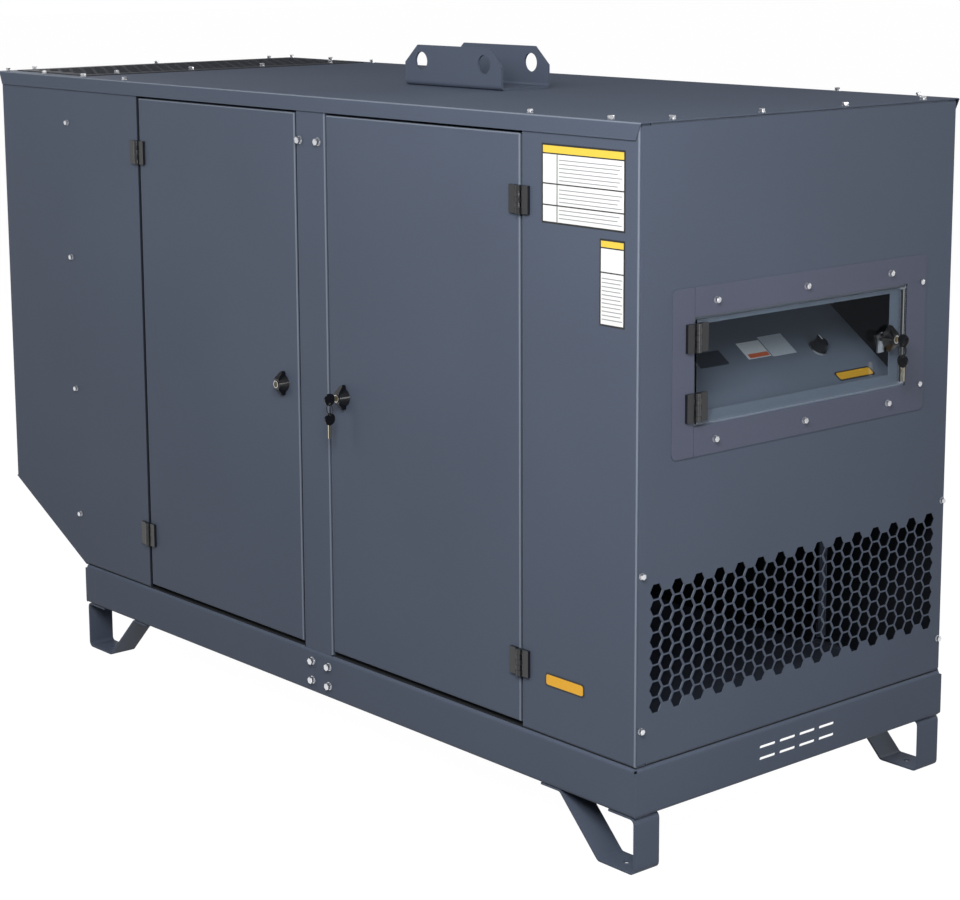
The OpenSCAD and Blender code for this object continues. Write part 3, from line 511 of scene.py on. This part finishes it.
# %% [markdown]
# ## Bolts
#
# The panels are held by zinc-plated hexagon bolts on washers: M6 round the panels and the roof, M8
# on the centre post and the base. A head is a six-sided cone operator with its top edges bevelled,
# which is what the real forging has. A spring washer, narrower than the flat one, lifts it off the
# sheet and leaves a dark line under it. The left end is the longest point, so its bolts have low
# button heads.

# %% Make the bolt heads
NEAR = 1e-6  # metres: points closer than this are one point
FLAT_SEGMENTS, SPRING_SEGMENTS, BUTTON_STEPS = 28, 20, 20


def add_disc(bm, radius, low, high, segments, soft):
    """A closed disc between two heights with its upper edge bevelled."""
    middle = Matrix.Translation((0, 0, (low + high) / 2))
    made = bmesh.ops.create_cone(bm, cap_ends=True, segments=segments, radius1=radius,
                                 radius2=radius, depth=high - low, matrix=middle)
    rim = {edge for vert in made["verts"] for edge in vert.link_edges
           if all(end.co.z > high - NEAR for end in edge.verts)}
    bmesh.ops.bevel(bm, geom=list(rim), offset=soft, segments=2, profile=0.5, affect="EDGES",
                    material=-1)


def bolt_mesh(name, flats, head, washer, washer_thick, spring_thick):
    """A hexagon head, given by its width across flats, on a spring washer and a flat one."""
    bm = bmesh.new()
    foot = washer_thick + spring_thick
    add_disc(bm, washer / 2, 0, washer_thick, FLAT_SEGMENTS, 0.3 * MM)
    add_disc(bm, 0.42 * flats, washer_thick, foot, SPRING_SEGMENTS, 0.2 * MM)
    add_disc(bm, flats / math.sqrt(3), foot, foot + head, 6, 0.09 * flats)
    print(name, "height", round((foot + head) / MM, 1), "mm")
    return mesh_from(name, bm)


def button_mesh(name, radius, head):
    """A button head: a dome, spun from its profile."""
    bm = bmesh.new()
    profile = [bm.verts.new((radius * math.cos(t), 0, head * math.sin(t)))
               for t in (0, 0.35, 0.75, 1.15, math.pi / 2)]
    edges = [bm.edges.new(pair) for pair in zip(profile, profile[1:])]
    bmesh.ops.spin(bm, geom=profile + edges, axis=ALONG_Z, cent=(0, 0, 0), angle=math.tau,
                   steps=BUTTON_STEPS, use_merge=True)
    bmesh.ops.remove_doubles(bm, verts=bm.verts, dist=NEAR)
    bmesh.ops.holes_fill(bm, edges=[e for e in bm.edges if e.is_boundary])
    bmesh.ops.recalc_face_normals(bm, faces=bm.faces)
    print(name, "height", round(head / MM, 1), "mm")
    return mesh_from(name, bm)


bolt_m6 = bolt_mesh("bolt_m6", *metres(10, 4, 12, 1.6, 1.6))
bolt_m8 = bolt_mesh("bolt_m8", *metres(13, 5.3, 16, 1.6, 2.6))
button_m6 = button_mesh("button_m6", *metres(5.5, 2.8))

# %% [markdown]
# The rows of bolts are given in millimetres. A bolt stops at any angle when it is tight, so each
# hexagon head gets a turn that comes from its position or its number.

# %% Bolts of the two long sides
PANEL_ROW_X, PANEL_ROW_Z = -912, (1207, 905, 604, 311)
POST_ROW_X, POST_ROW_Z, POST_TURN = (-44, 15), 1223, 0.3
TONGUE_ROW_X, TONGUE_ROW_Z = (-28, 27), (172, 132)
for side, y, rail in (("front", front_y, rail_y), ("back", back_y, -rail_y)):
    normal = (0, math.copysign(1, y), 0)
    panel = [standing_on((PANEL_ROW_X * MM, y, z * MM), normal, z) for z in PANEL_ROW_Z]
    add_copies(f"{side}_panel_bolts", bolt_m6, panel, zinc_plate)
    post = [standing_on((x * MM, y, POST_ROW_Z * MM), normal, POST_TURN + x) for x in POST_ROW_X]
    tongue = [standing_on((x * MM, rail, z * MM), normal, x + z)
              for x in TONGUE_ROW_X for z in TONGUE_ROW_Z]
    add_copies(f"{side}_post_bolts", bolt_m8, post + tongue, zinc_plate)

# %% Bolts of the roof
SIDE_ROW_X, SIDE_ROW_Y, ROOF_TURN = (-1187, -1024, -858, -691, 612, 813), 405, 0.7
cross_rows = ((883, (-330, -110, 110, 330), roof_z), (-1188, (-335, 0, 335), roof_z),
              (-888, (-300, -100, 100, 300), vent_z))
roof_points = [(x * MM, side * SIDE_ROW_Y * MM, roof_z) for side in (-1, 1) for x in SIDE_ROW_X]
roof_points += [(x * MM, y * MM, z) for x, row, z in cross_rows for y in row]
roof_places = [standing_on(point, ALONG_Z, ROOF_TURN * i) for i, point in enumerate(roof_points)]
add_copies("roof_bolts", bolt_m6, roof_places, zinc_plate)

# %% Bolts of the two ends
RIGHT_TURN = 0.5
right_rows = ((end_x, (-406, 406), (538, 262)), (end_x, (323,), (972, 778)),
              (surround_x, (-232, 0, 232), (997, 753)))
right_points = [(x, y * MM, z * MM) for x, row, heights in right_rows for y in row for z in heights]
right_places = [standing_on(point, ALONG_X, RIGHT_TURN * i) for i, point in enumerate(right_points)]
add_copies("right_end_bolts", bolt_m6, right_places, zinc_plate)
LEFT_ROW_Y, LEFT_ROW_Z = (-404, 404), (1207, 905, 604)
left_places = [standing_on((left_x, y * MM, z * MM), (-1, 0, 0))
               for y in LEFT_ROW_Y for z in LEFT_ROW_Z]
add_copies("left_end_bolts", button_m6, left_places, zinc_plate)

# %% [markdown]
# ## Bare labels
#
# Two labels sit on the right panel, with one badge below them and another on the console. Only
# their plates are made here: a label is a black backing, a yellow header and white fields with grey
# ruled lines, as on a form nobody has filled in. A field is a one-face grid, with rounded corners
# where the real one has them, that solidify gives the thickness of a label. Each layer lies on the
# one under it.

# %% Make flat fields on a face
LAYER = 0.25 * MM


def face_frame(origin, across, up):
    """The matrix from a flat drawing to a face: X across, Y up, Z out of the face."""
    across, up = Vector(across), Vector(up)
    turn = Matrix((across, up, across.cross(up))).transposed().to_4x4()
    return Matrix.Translation(origin) @ turn


def add_fields(name, place, fields, finish, lift, thick=LAYER, corner=0.0, body="canopy"):
    """Flat plates, each given by its left, lower, right and upper side in the drawing."""
    bm = bmesh.new()
    for left, low, right, high in fields:
        middle = Matrix.Translation(((left + right) / 2, (low + high) / 2, lift))
        size = Matrix.Diagonal((right - left, high - low, 1, 1))
        bmesh.ops.create_grid(bm, x_segments=1, y_segments=1, size=0.5, matrix=middle @ size)
    if corner:
        bmesh.ops.bevel(bm, geom=bm.verts[:], offset=corner, segments=5, profile=0.5,
                        affect="VERTICES", material=-1)
    bmesh.ops.solidify(bm, geom=bm.faces[:], thickness=thick)
    bmesh.ops.recalc_face_normals(bm, faces=bm.faces)
    bmesh.ops.transform(bm, matrix=place, verts=bm.verts)
    return add_piece(name, bm, [finish], body)


def add_label(name, box, header, white, ruled):
    """The four layers of a label, from its backing to its ruled lines."""
    add_fields(name + "_backing", label_place, [box], vinyl["black"], LAYER)
    add_fields(name + "_header", label_place, [header], vinyl["yellow"], 2 * LAYER)
    add_fields(name + "_fields", label_place, white, vinyl["white"], 2 * LAYER)
    add_fields(name + "_ruling", label_place, ruled, vinyl["grey"], 3 * LAYER)


# %% The large label
BORDER, LINE = 3.4 * MM, 2.4 * MM
RULE, RULE_PITCH = 1.5, 7
label_place = face_frame((0, front_y, 0), ALONG_X, ALONG_Z)
left, low, right, high = metres(655, 1124, 861, 1262)
header_low = high - 17 * MM
header = (left + BORDER, header_low + LINE / 2, right - BORDER, high - BORDER)
rows = [header_low, low + 69 * MM, low + 32 * MM, low + BORDER - LINE / 2]
column = left + 39 * MM
white = [(a, rows[i + 1] + LINE / 2, b, rows[i] - LINE / 2) for i in range(3)
         for a, b in ((left + BORDER, column - LINE / 2), (column + LINE / 2, right - BORDER))]
rule_heights = [top - RULE_PITCH * i for top, count in ((1234, 6), (1183, 4), (1148, 3))
                for i in range(count)]
ruled = [(column + 5 * MM, z * MM, right - (8 + 5 * (i % 3)) * MM, (z + RULE) * MM)
         for i, z in enumerate(rule_heights)]
add_label("large_label", (left, low, right, high), header, white, ruled)

# %% The small label
left, low, right, high = metres(800, 961, 861, 1110)
header = (left + BORDER, high - 14 * MM, right - BORDER, high - BORDER)
white = [(left + BORDER, high - 56 * MM, right - BORDER, high - 16.4 * MM),
         (left + BORDER, low + BORDER, right - BORDER, high - 58.4 * MM)]
rule_heights = [1042 - RULE_PITCH * i for i in range(11)]
ruled = [(left + 6 * MM, z * MM, right - (6 + 4 * (i % 2)) * MM, (z + RULE) * MM)
         for i, z in enumerate(rule_heights)]
add_label("small_label", (left, low, right, high), header, white, ruled)

# %% [markdown]
# ## Window seal
#
# A dark rubber seal with a bright clip runs up the free edge of the window, and turns with it.

# %% Seal and clip on the window
SEAL_THICK, CLIP_THICK = 0.6 * MM, 0.3 * MM
pane_low, pane_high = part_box("window_pane")
pane_place = face_frame((pane_high.x, 0, 0), ALONG_Y, ALONG_Z)
seal_low, seal_high = pane_low.z + 4 * MM, pane_high.z - 4 * MM
free_edge = pane_high.y - 2 * MM
seal = (free_edge - 12 * MM, seal_low, free_edge, seal_high)
clip = (free_edge - 6.5 * MM, seal_low, free_edge - 3.5 * MM, seal_high)
add_fields("window_seal", pane_place, [seal], strip_foam, SEAL_THICK, SEAL_THICK,
           body=body_of("window_pane"))
add_fields("window_seal_clip", pane_place, [clip], vinyl["grey"], SEAL_THICK + CLIP_THICK,
           CLIP_THICK, body=body_of("window_pane"))

# %% [markdown]
# ## Badges
#
# The two badges are plates with rounded corners. They are left blank: a black plate with an amber
# field on it.

# %% Make the badges
BADGE_THICK, BADGE_RIM, BADGE_CORNER = metres(0.6, 3, 6)
FIELD_THICK, FIELD_CORNER = metres(0.3, 4.5)


def add_badge(name, place, left, low, right, high):
    """A black plate and, inside its rim, an amber field."""
    add_fields(name + "_plate", place, [(left, low, right, high)], vinyl["black"], BADGE_THICK,
               BADGE_THICK, BADGE_CORNER)
    field = (left + BADGE_RIM, low + BADGE_RIM, right - BADGE_RIM, high - BADGE_RIM)
    add_fields(name + "_field", place, [field], vinyl["amber"], BADGE_THICK + FIELD_THICK,
               FIELD_THICK, FIELD_CORNER)


add_badge("panel_badge", label_place, *metres(665, 291, 766, 316))

# %% [markdown]
# ## Console
#
# Behind the clear window a sloped console carries a selector knob, a display and stickers. The
# console's drawing plane starts at its front edge and runs up the slope. Stickers and a badge lie
# on that plane, and the knob has a bright ring under it and a pale pointer on it.

# %% Find the console's plane
console_slope = math.radians(35.5)
console_length = 230 * MM
cheek_low, cheek_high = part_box("console_brackets")
up_slope = Vector((-math.cos(console_slope), 0, math.sin(console_slope)))
front_edge = Vector((cheek_low.x, 0, cheek_high.z)) - console_length * up_slope
console_place = face_frame(front_edge, ALONG_Y, up_slope)
print("console starts at", rounded(front_edge))

# %% Stickers and badge
for name, box, colour, lift in (("white", (-34, 103, 26, 145), "white", LAYER),
                                ("stripe", (-28, 105, 24, 115), "orange", 2 * LAYER),
                                ("silver", (29, 100, 93, 152), "silver", LAYER)):
    add_fields("console_sticker_" + name, console_place, [metres(*box)], vinyl[colour], lift)
add_badge("console_badge", console_place, *metres(136, 14, 236, 37))

# %% [markdown]
# The ring round the knob is a flat section with rounded corners, spun about the knob's axis. The
# knob turns with its own body, and the pointer rides on it.

# %% Knob ring and pointer
RING_SEGMENTS, RIM_SEGMENTS = 48, 32
FLAT = 1e-7  # metres: a point nearer than this to a plane lies on it


def add_ring(name, place, inner, outer, height, finish, body="canopy", segments=RING_SEGMENTS):
    """A flat ring with rounded edges, spun from its section."""
    bm = bmesh.new()
    middle = Matrix.Translation(((inner + outer) / 2, 0, height / 2))
    upright = Matrix.Rotation(math.pi / 2, 4, "X")
    size = Matrix.Diagonal((outer - inner, height, 1, 1))
    section = bmesh.ops.create_grid(bm, x_segments=1, y_segments=1, size=0.5,
                                    matrix=middle @ upright @ size)
    bmesh.ops.bevel(bm, geom=section["verts"], offset=height / 4, segments=2, profile=0.5,
                    affect="VERTICES", material=-1)
    bmesh.ops.spin(bm, geom=bm.verts[:] + bm.edges[:], axis=ALONG_Z, cent=(0, 0, 0),
                   angle=math.tau, steps=segments, use_merge=True)
    first = [f for f in bm.faces if all(abs(v.co.y) < FLAT and v.co.x > 0 for v in f.verts)]
    bmesh.ops.delete(bm, geom=first, context="FACES_ONLY")
    bmesh.ops.remove_doubles(bm, verts=bm.verts, dist=NEAR)
    bmesh.ops.recalc_face_normals(bm, faces=bm.faces)
    bmesh.ops.transform(bm, matrix=place, verts=bm.verts)
    return add_piece(name, bm, [finish], body)


POINTER_TOP = 23.3 * MM
knob_place = console_place @ Matrix.Translation(metres(150, 100, 0))
add_ring("knob_ring", knob_place, *metres(15.4, 19, 3), zinc_plate)
add_fields("knob_pointer", knob_place, [metres(-1.2, 2, 1.2, 13.2)], vinyl["white"], POINTER_TOP,
           body="selector_knob")

# %% [markdown]
# ## Hinge pockets
#
# Each leaf of a hinge has a pocket beside every knuckle of the other leaf, to let it turn. The
# knuckles stand over a pocket and shade its floor. A thin plate of rough black plastic lines each
# floor: painted shade that stands for that shadow. The leaf that carries the pin has two pockets a
# hinge, and the other leaf has three.

# %% Line the pockets with painted shade
HINGE_SIZE, KNUCKLES = 50 * MM, 5
POCKET_FLOOR, POCKET_NEAR, POCKET_FAR = metres(2, 6.2, 8.7)
LINER_THICK, LINER_MARGIN = metres(0.2, 0.3)
# Black plastic for the pocket floors, as painted shade.
pocket_shade_plastic = moulded_plastic("polyamide_painted_pocket_shade", "#050506", 0.70, 0.02 * MM, 0.0)


def line_pockets(node, side, carries_pin, on_end=False):
    """Plates of painted shade on the pocket floors of two leaves, on the given side of the pin."""
    low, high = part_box(node)
    start, end = (low.y, high.y) if on_end else (low.x, high.x)
    pin = end - HINGE_SIZE / 2 if side > 0 else start + HINGE_SIZE / 2
    near, far = sorted((pin + side * POCKET_NEAR, pin + side * POCKET_FAR))
    pitch = HINGE_SIZE / KNUCKLES
    fields = [(near, foot + i * pitch + LINER_MARGIN, far, foot + (i + 1) * pitch - LINER_MARGIN)
              for foot in (low.z, high.z - HINGE_SIZE)
              for i in range(1 if carries_pin else 0, KNUCKLES, 2)]
    place = (face_frame((low.x, 0, 0), ALONG_Y, ALONG_Z) if on_end
             else face_frame((0, high.y, 0), ALONG_X, ALONG_Z))
    add_fields(node + "_pocket_shade", place, fields, pocket_shade_plastic, POCKET_FLOOR + LINER_THICK,
               LINER_THICK, body=body_of(node))


line_pockets("front_left_frame_leaves", -1, True)
line_pockets("front_left_door_leaves", 1, False)
line_pockets("front_right_frame_leaves", 1, True)
line_pockets("front_right_door_leaves", -1, False)
line_pockets("window_frame_leaves", -1, True, on_end=True)
line_pockets("window_door_leaves", 1, False, on_end=True)

# %% [markdown]
# ## Lock faces
#
# The face of a lock barrel has a bright turned rim and a key-way, which is a thin black plate:
# painted shade for the dark slot. Both ride on the handle, which the barrel turns with. The
# barrel's own box says where its face is.

# %% Rim and key-way of each barrel
RIM_WIDTH, RIM_HEIGHT, KEYWAY_THICK = metres(1.3, 0.8, 0.2)


def dress_barrel(node, on_end=False):
    """A bright rim and a key-way of painted shade on the outer face of a barrel."""
    low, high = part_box(node)
    face = (low + high) / 2
    if on_end:
        face.x = high.x
    else:
        face.y = low.y
    radius = (high.z - low.z) / 2
    place = face_frame(face, ALONG_Y if on_end else ALONG_X, ALONG_Z)
    add_ring(node + "_rim", place, radius - RIM_WIDTH, radius, RIM_HEIGHT, zinc_plate,
             body_of(node), RIM_SEGMENTS)
    # The key-way is a black plate: painted shade for the slot.
    add_fields(node + "_keyway_shade", place, [metres(-0.8, -3, 0.8, 3)], vinyl["black"], KEYWAY_THICK,
               KEYWAY_THICK, body=body_of(node))
    print(node, "face radius", round(radius / MM, 2), "mm")


dress_barrel("front_left_barrel")
dress_barrel("front_right_barrel")
dress_barrel("window_barrel", on_end=True)

# %% [markdown]
# ## Keys
#
# A bunch of two keys hangs from each lock that has one. In the CAD each bunch is one solid, but a
# real one is black plastic bows on a bright ring with plated blades. A merged copy of the node gets
# two finishes, chosen face by face from where the face is, and stands for the node.

# %% Two finishes for each bunch of keys
RING_OUT, RING_DOWN, RING_RADIUS, RING_WIRE = metres(37, 19.2, 10, 0.9)
BLADE_SIDE, UPPER_BLADE_OUT, LOWER_BLADE_DOWN = metres(1.1, 25.2, 50.2)


def dress_keys(node, lock, outward, across):
    """A merged copy of a keys node with plastic bows and plated metal ring and blades."""
    bm = bmesh.new()
    bm.from_mesh(frame["nodes"][node].data)
    bmesh.ops.remove_doubles(bm, verts=bm.verts, dist=NEAR)
    for face in bm.faces:
        away = face.calc_center_median() - lock
        out, side, down = away.dot(outward), abs(away.dot(across)), -away.z
        off_ring = abs(math.hypot(out - RING_OUT, down - RING_DOWN) - RING_RADIUS)
        on_ring = off_ring < RING_WIRE and side < RING_WIRE
        on_blade = side < BLADE_SIDE and (out < UPPER_BLADE_OUT or down > LOWER_BLADE_DOWN)
        face.material_index = 1 if on_ring or on_blade else 0
    piece = add_piece(node + "_dressed", bm, [handle_plastic, key_nickel], body_of(node))
    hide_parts(node)


door_lock = Vector((87 * MM, front_y, 731 * MM))
window_lock = Vector((surround_x, 229 * MM, 876 * MM))
dress_keys("front_right_keys", door_lock, Vector((0, -1, 0)), Vector(ALONG_X))
dress_keys("window_keys", window_lock, Vector(ALONG_X), Vector(ALONG_Y))

# %% [markdown]
# ## Floor and light
#
# The generator stands on a plain pale floor. The camera and the reflections see floor and
# surroundings as white, while the light that falls on the object stays at a level at which a colour
# renders about as it is written. Light Path tells those rays apart. The floor keeps its shadow,
# because only part of what the camera sees of it is its own glow.

# %% White surroundings
WHITE = (1, 1, 1, 1)
AMBIENT = 0.035


def background_rays(tree):
    """1 for the rays that show the background: camera, glossy and transmission rays."""
    path = add_node(tree, "ShaderNodeLightPath")
    direct = add_node(tree, "ShaderNodeMath",
                      {0: path.outputs["Is Camera Ray"], 1: path.outputs["Is Glossy Ray"]},
                      operation="MAXIMUM")
    shown = add_node(tree, "ShaderNodeMath",
                     {0: direct.outputs[0], 1: path.outputs["Is Transmission Ray"]},
                     operation="MAXIMUM")
    return shown.outputs[0]


world = bpy.data.worlds.new("studio_surroundings")
world.use_nodes = True
sky = world.node_tree
sky.nodes.clear()
soft = add_node(sky, "ShaderNodeBackground", {"Color": WHITE, "Strength": AMBIENT})
white = add_node(sky, "ShaderNodeBackground", {"Color": WHITE, "Strength": 1.0})
mixed = add_node(sky, "ShaderNodeMixShader",
                 {0: background_rays(sky), 1: soft.outputs[0], 2: white.outputs[0]})
add_node(sky, "ShaderNodeOutputWorld", {"Surface": mixed.outputs[0]})
scene.world = world
print("surroundings light the object at", AMBIENT)

# %% Pale floor
FLOOR_HALF = 40  # metres, so that its far edge does not show
GLOW_SHARE, GLOW = 0.5, 1.98  # the share of the floor that glows, and how bright that share is


def floor_finish():
    """A matt floor that glows white for the rays that show the background."""
    finish, tree, place = new_finish("studio_floor_pale")
    stain = add_node(tree, "ShaderNodeTexNoise", {"Vector": place, "Scale": 1.5, "Detail": 2.0})
    tone = add_node(tree, "ShaderNodeValToRGB", {"Fac": stain.outputs["Fac"]},
                    ramp=((0.3, srgb("#626264")), (0.7, srgb("#666668"))))
    matt = add_node(tree, "ShaderNodeBsdfDiffuse", {"Color": tone.outputs["Color"]})
    glow = add_node(tree, "ShaderNodeEmission", {"Color": WHITE, "Strength": GLOW})
    share = add_node(tree, "ShaderNodeMath", {0: background_rays(tree), 1: GLOW_SHARE},
                     operation="MULTIPLY")
    mixed = add_node(tree, "ShaderNodeMixShader",
                     {0: share.outputs[0], 1: matt.outputs[0], 2: glow.outputs[0]})
    return close_finish(finish, mixed.outputs[0])


bm = bmesh.new()
bmesh.ops.create_grid(bm, x_segments=1, y_segments=1, size=FLOOR_HALF)
floor = link_object("studio_floor", mesh_from("studio_floor", bm))
floor.data.materials.append(floor_finish())
floor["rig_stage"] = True

# %% [markdown]
# ## Dark card
#
# A photographer keeps dark card round a shiny dark object, or its top would mirror the white studio
# and look grey. Here a ring of card hangs round the set, an open cylinder that starts above the
# bolts. A flat one stands off the right end, where the window would otherwise mirror the white
# floor and hide the console. Neither the camera nor diffuse and shadow rays see card, so it takes
# no light from the object and casts no shadow.

# %% Dark card
CARD_RING_RADIUS, CARD_RING_LOW, CARD_RING_HIGH = 8, 1.6, 8.0
FLAG_MIDDLE, FLAG_HEIGHT, FLAG_WIDTH = (2.9, 2.285, 0.33), 0.50, 0.94


def card_finish():
    """A card that looks nearly black in a reflection."""
    finish, tree, place = new_finish("studio_card_dark")
    fibre = add_node(tree, "ShaderNodeTexNoise", {"Vector": place, "Scale": 2.0, "Detail": 2.0})
    tone = add_node(tree, "ShaderNodeValToRGB", {"Fac": fibre.outputs["Fac"]},
                    ramp=((0.3, (0.065, 0.070, 0.08, 1)), (0.7, (0.085, 0.090, 0.10, 1))))
    glow = add_node(tree, "ShaderNodeEmission", {"Color": tone.outputs["Color"], "Strength": 1.0})
    return close_finish(finish, glow.outputs[0])


def add_card(name, bm, finish, through_glass=False):
    """A card that shows in reflections only, and through a pane if it is asked for."""
    card = link_object(name, mesh_from(name, bm))
    card.data.materials.append(finish)
    card.visible_camera = card.visible_diffuse = card.visible_shadow = False
    card.visible_transmission = through_glass
    card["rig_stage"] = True
    print("card:", name)


dark_card = card_finish()
ring = bmesh.new()
ring_middle = Matrix.Translation((0, 0, (CARD_RING_LOW + CARD_RING_HIGH) / 2))
bmesh.ops.create_cone(ring, segments=48, radius1=CARD_RING_RADIUS, radius2=CARD_RING_RADIUS,
                      depth=CARD_RING_HIGH - CARD_RING_LOW, matrix=ring_middle)
add_card("studio_card_ring", ring, dark_card)
flag = bmesh.new()
upright = Matrix.Translation(FLAG_MIDDLE) @ Matrix.Rotation(math.pi / 2, 4, "Y")
bmesh.ops.create_grid(flag, x_segments=1, y_segments=1, size=0.5,
                      matrix=upright @ Matrix.Diagonal((FLAG_HEIGHT, FLAG_WIDTH, 1, 1)))
add_card("studio_card_flag", flag, dark_card, through_glass=True)

# %% [markdown]
# ## Softboxes
#
# Area lamps stand round the object, most of them higher than it, so that each upright side is
# brightest near its top and falls off towards the floor. The key stands before the near corner and
# lights both near sides. A low one shines through the window on to the console. A weak one from
# above the far left draws a bright line along the folded edges. The camera does not see the lamps,
# so one that stands close never gets into a view. The three in front of the long side have no
# mirror image either, or the roof would glare when it is seen from behind.

# %% Add the softboxes
def add_softbox(name, place, aim, size, power, mirrored=True):
    """A square area lamp that points from its place to its aim. Its power is in watts."""
    lamp = bpy.data.lights.new(name, "AREA")
    lamp.shape, lamp.size, lamp.energy = "SQUARE", size, power
    box = link_object(name, lamp)
    box.location = place
    box.rotation_euler = (Vector(aim) - Vector(place)).to_track_quat("-Z", "Y").to_euler()
    box.visible_camera = False
    box.visible_glossy = mirrored
    print(name, power, "W")


add_softbox("softbox_key", (2.3, -2.3, 2.5), (0.6, -0.3, 1.1), 1.4, 110, mirrored=False)
add_softbox("softbox_front", (0.3, -2.3, 2.5), (0.1, -0.42, 1.1), 1.4, 14, mirrored=False)
add_softbox("softbox_left_front", (-1.8, -2.4, 2.4), (-0.9, -0.42, 1.1), 1.4, 26, mirrored=False)
add_softbox("softbox_end", (2.9, -0.2, 2.4), (0.9, -0.1, 1.1), 1.4, 3.5)
add_softbox("softbox_console", (3.2, -0.7, 1.05), (0.9, 0, 0.9), 1.0, 20)
add_softbox("softbox_left", (-5.2, 0.6, 1.9), (-0.8, 0, 0.7), 2.6, 52)
add_softbox("softbox_back", (0.6, 4.8, 1.9), (0, 0, 0.7), 2.6, 120)
add_softbox("softbox_rim", (-2.4, -1.0, 3.2), (0.0, -0.2, 1.2), 1.4, 6.1)

# %% [markdown]
# ## Camera
#
# The camera is given by where it stands and by how it turns. A view camera's lens can be shifted
# down without tilting the camera, which keeps upright edges nearly upright.

# %% Place the camera
CAMERA_PLACE = (3.6125, -3.1154, 1.6145)
SENSOR_WIDTH, FOCAL_LENGTH, LENS_SHIFT = 36, 87.2, -0.1042
azimuth, elevation, roll = math.radians(49.17), math.radians(10.124), math.radians(-0.26)
forward = Vector((-math.sin(azimuth) * math.cos(elevation),
                  math.cos(azimuth) * math.cos(elevation), -math.sin(elevation)))
across = Vector((math.cos(azimuth), math.sin(azimuth), 0))
upward = across.cross(forward)
turned_across = math.cos(roll) * across + math.sin(roll) * upward
turned_upward = math.cos(roll) * upward - math.sin(roll) * across
lens = bpy.data.cameras.new("studio_camera")
lens.sensor_fit, lens.sensor_width = "HORIZONTAL", SENSOR_WIDTH
lens.lens, lens.shift_y = FOCAL_LENGTH, LENS_SHIFT
camera = link_object("studio_camera", lens)
turn = Matrix((turned_across, turned_upward, -forward)).transposed().to_4x4()
camera.matrix_world = Matrix.Translation(CAMERA_PLACE) @ turn
scene.camera = camera
scene.view_settings.view_transform = "Standard"
print("camera stands at", CAMERA_PLACE)

# %% [markdown]
# ## Print the size
#
# The dressed model must stay as large as the CAD model. The last line prints the box of the dressed
# model.

# %% Print the box
low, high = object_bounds()
print("visual box:", rounded(low), rounded(high))
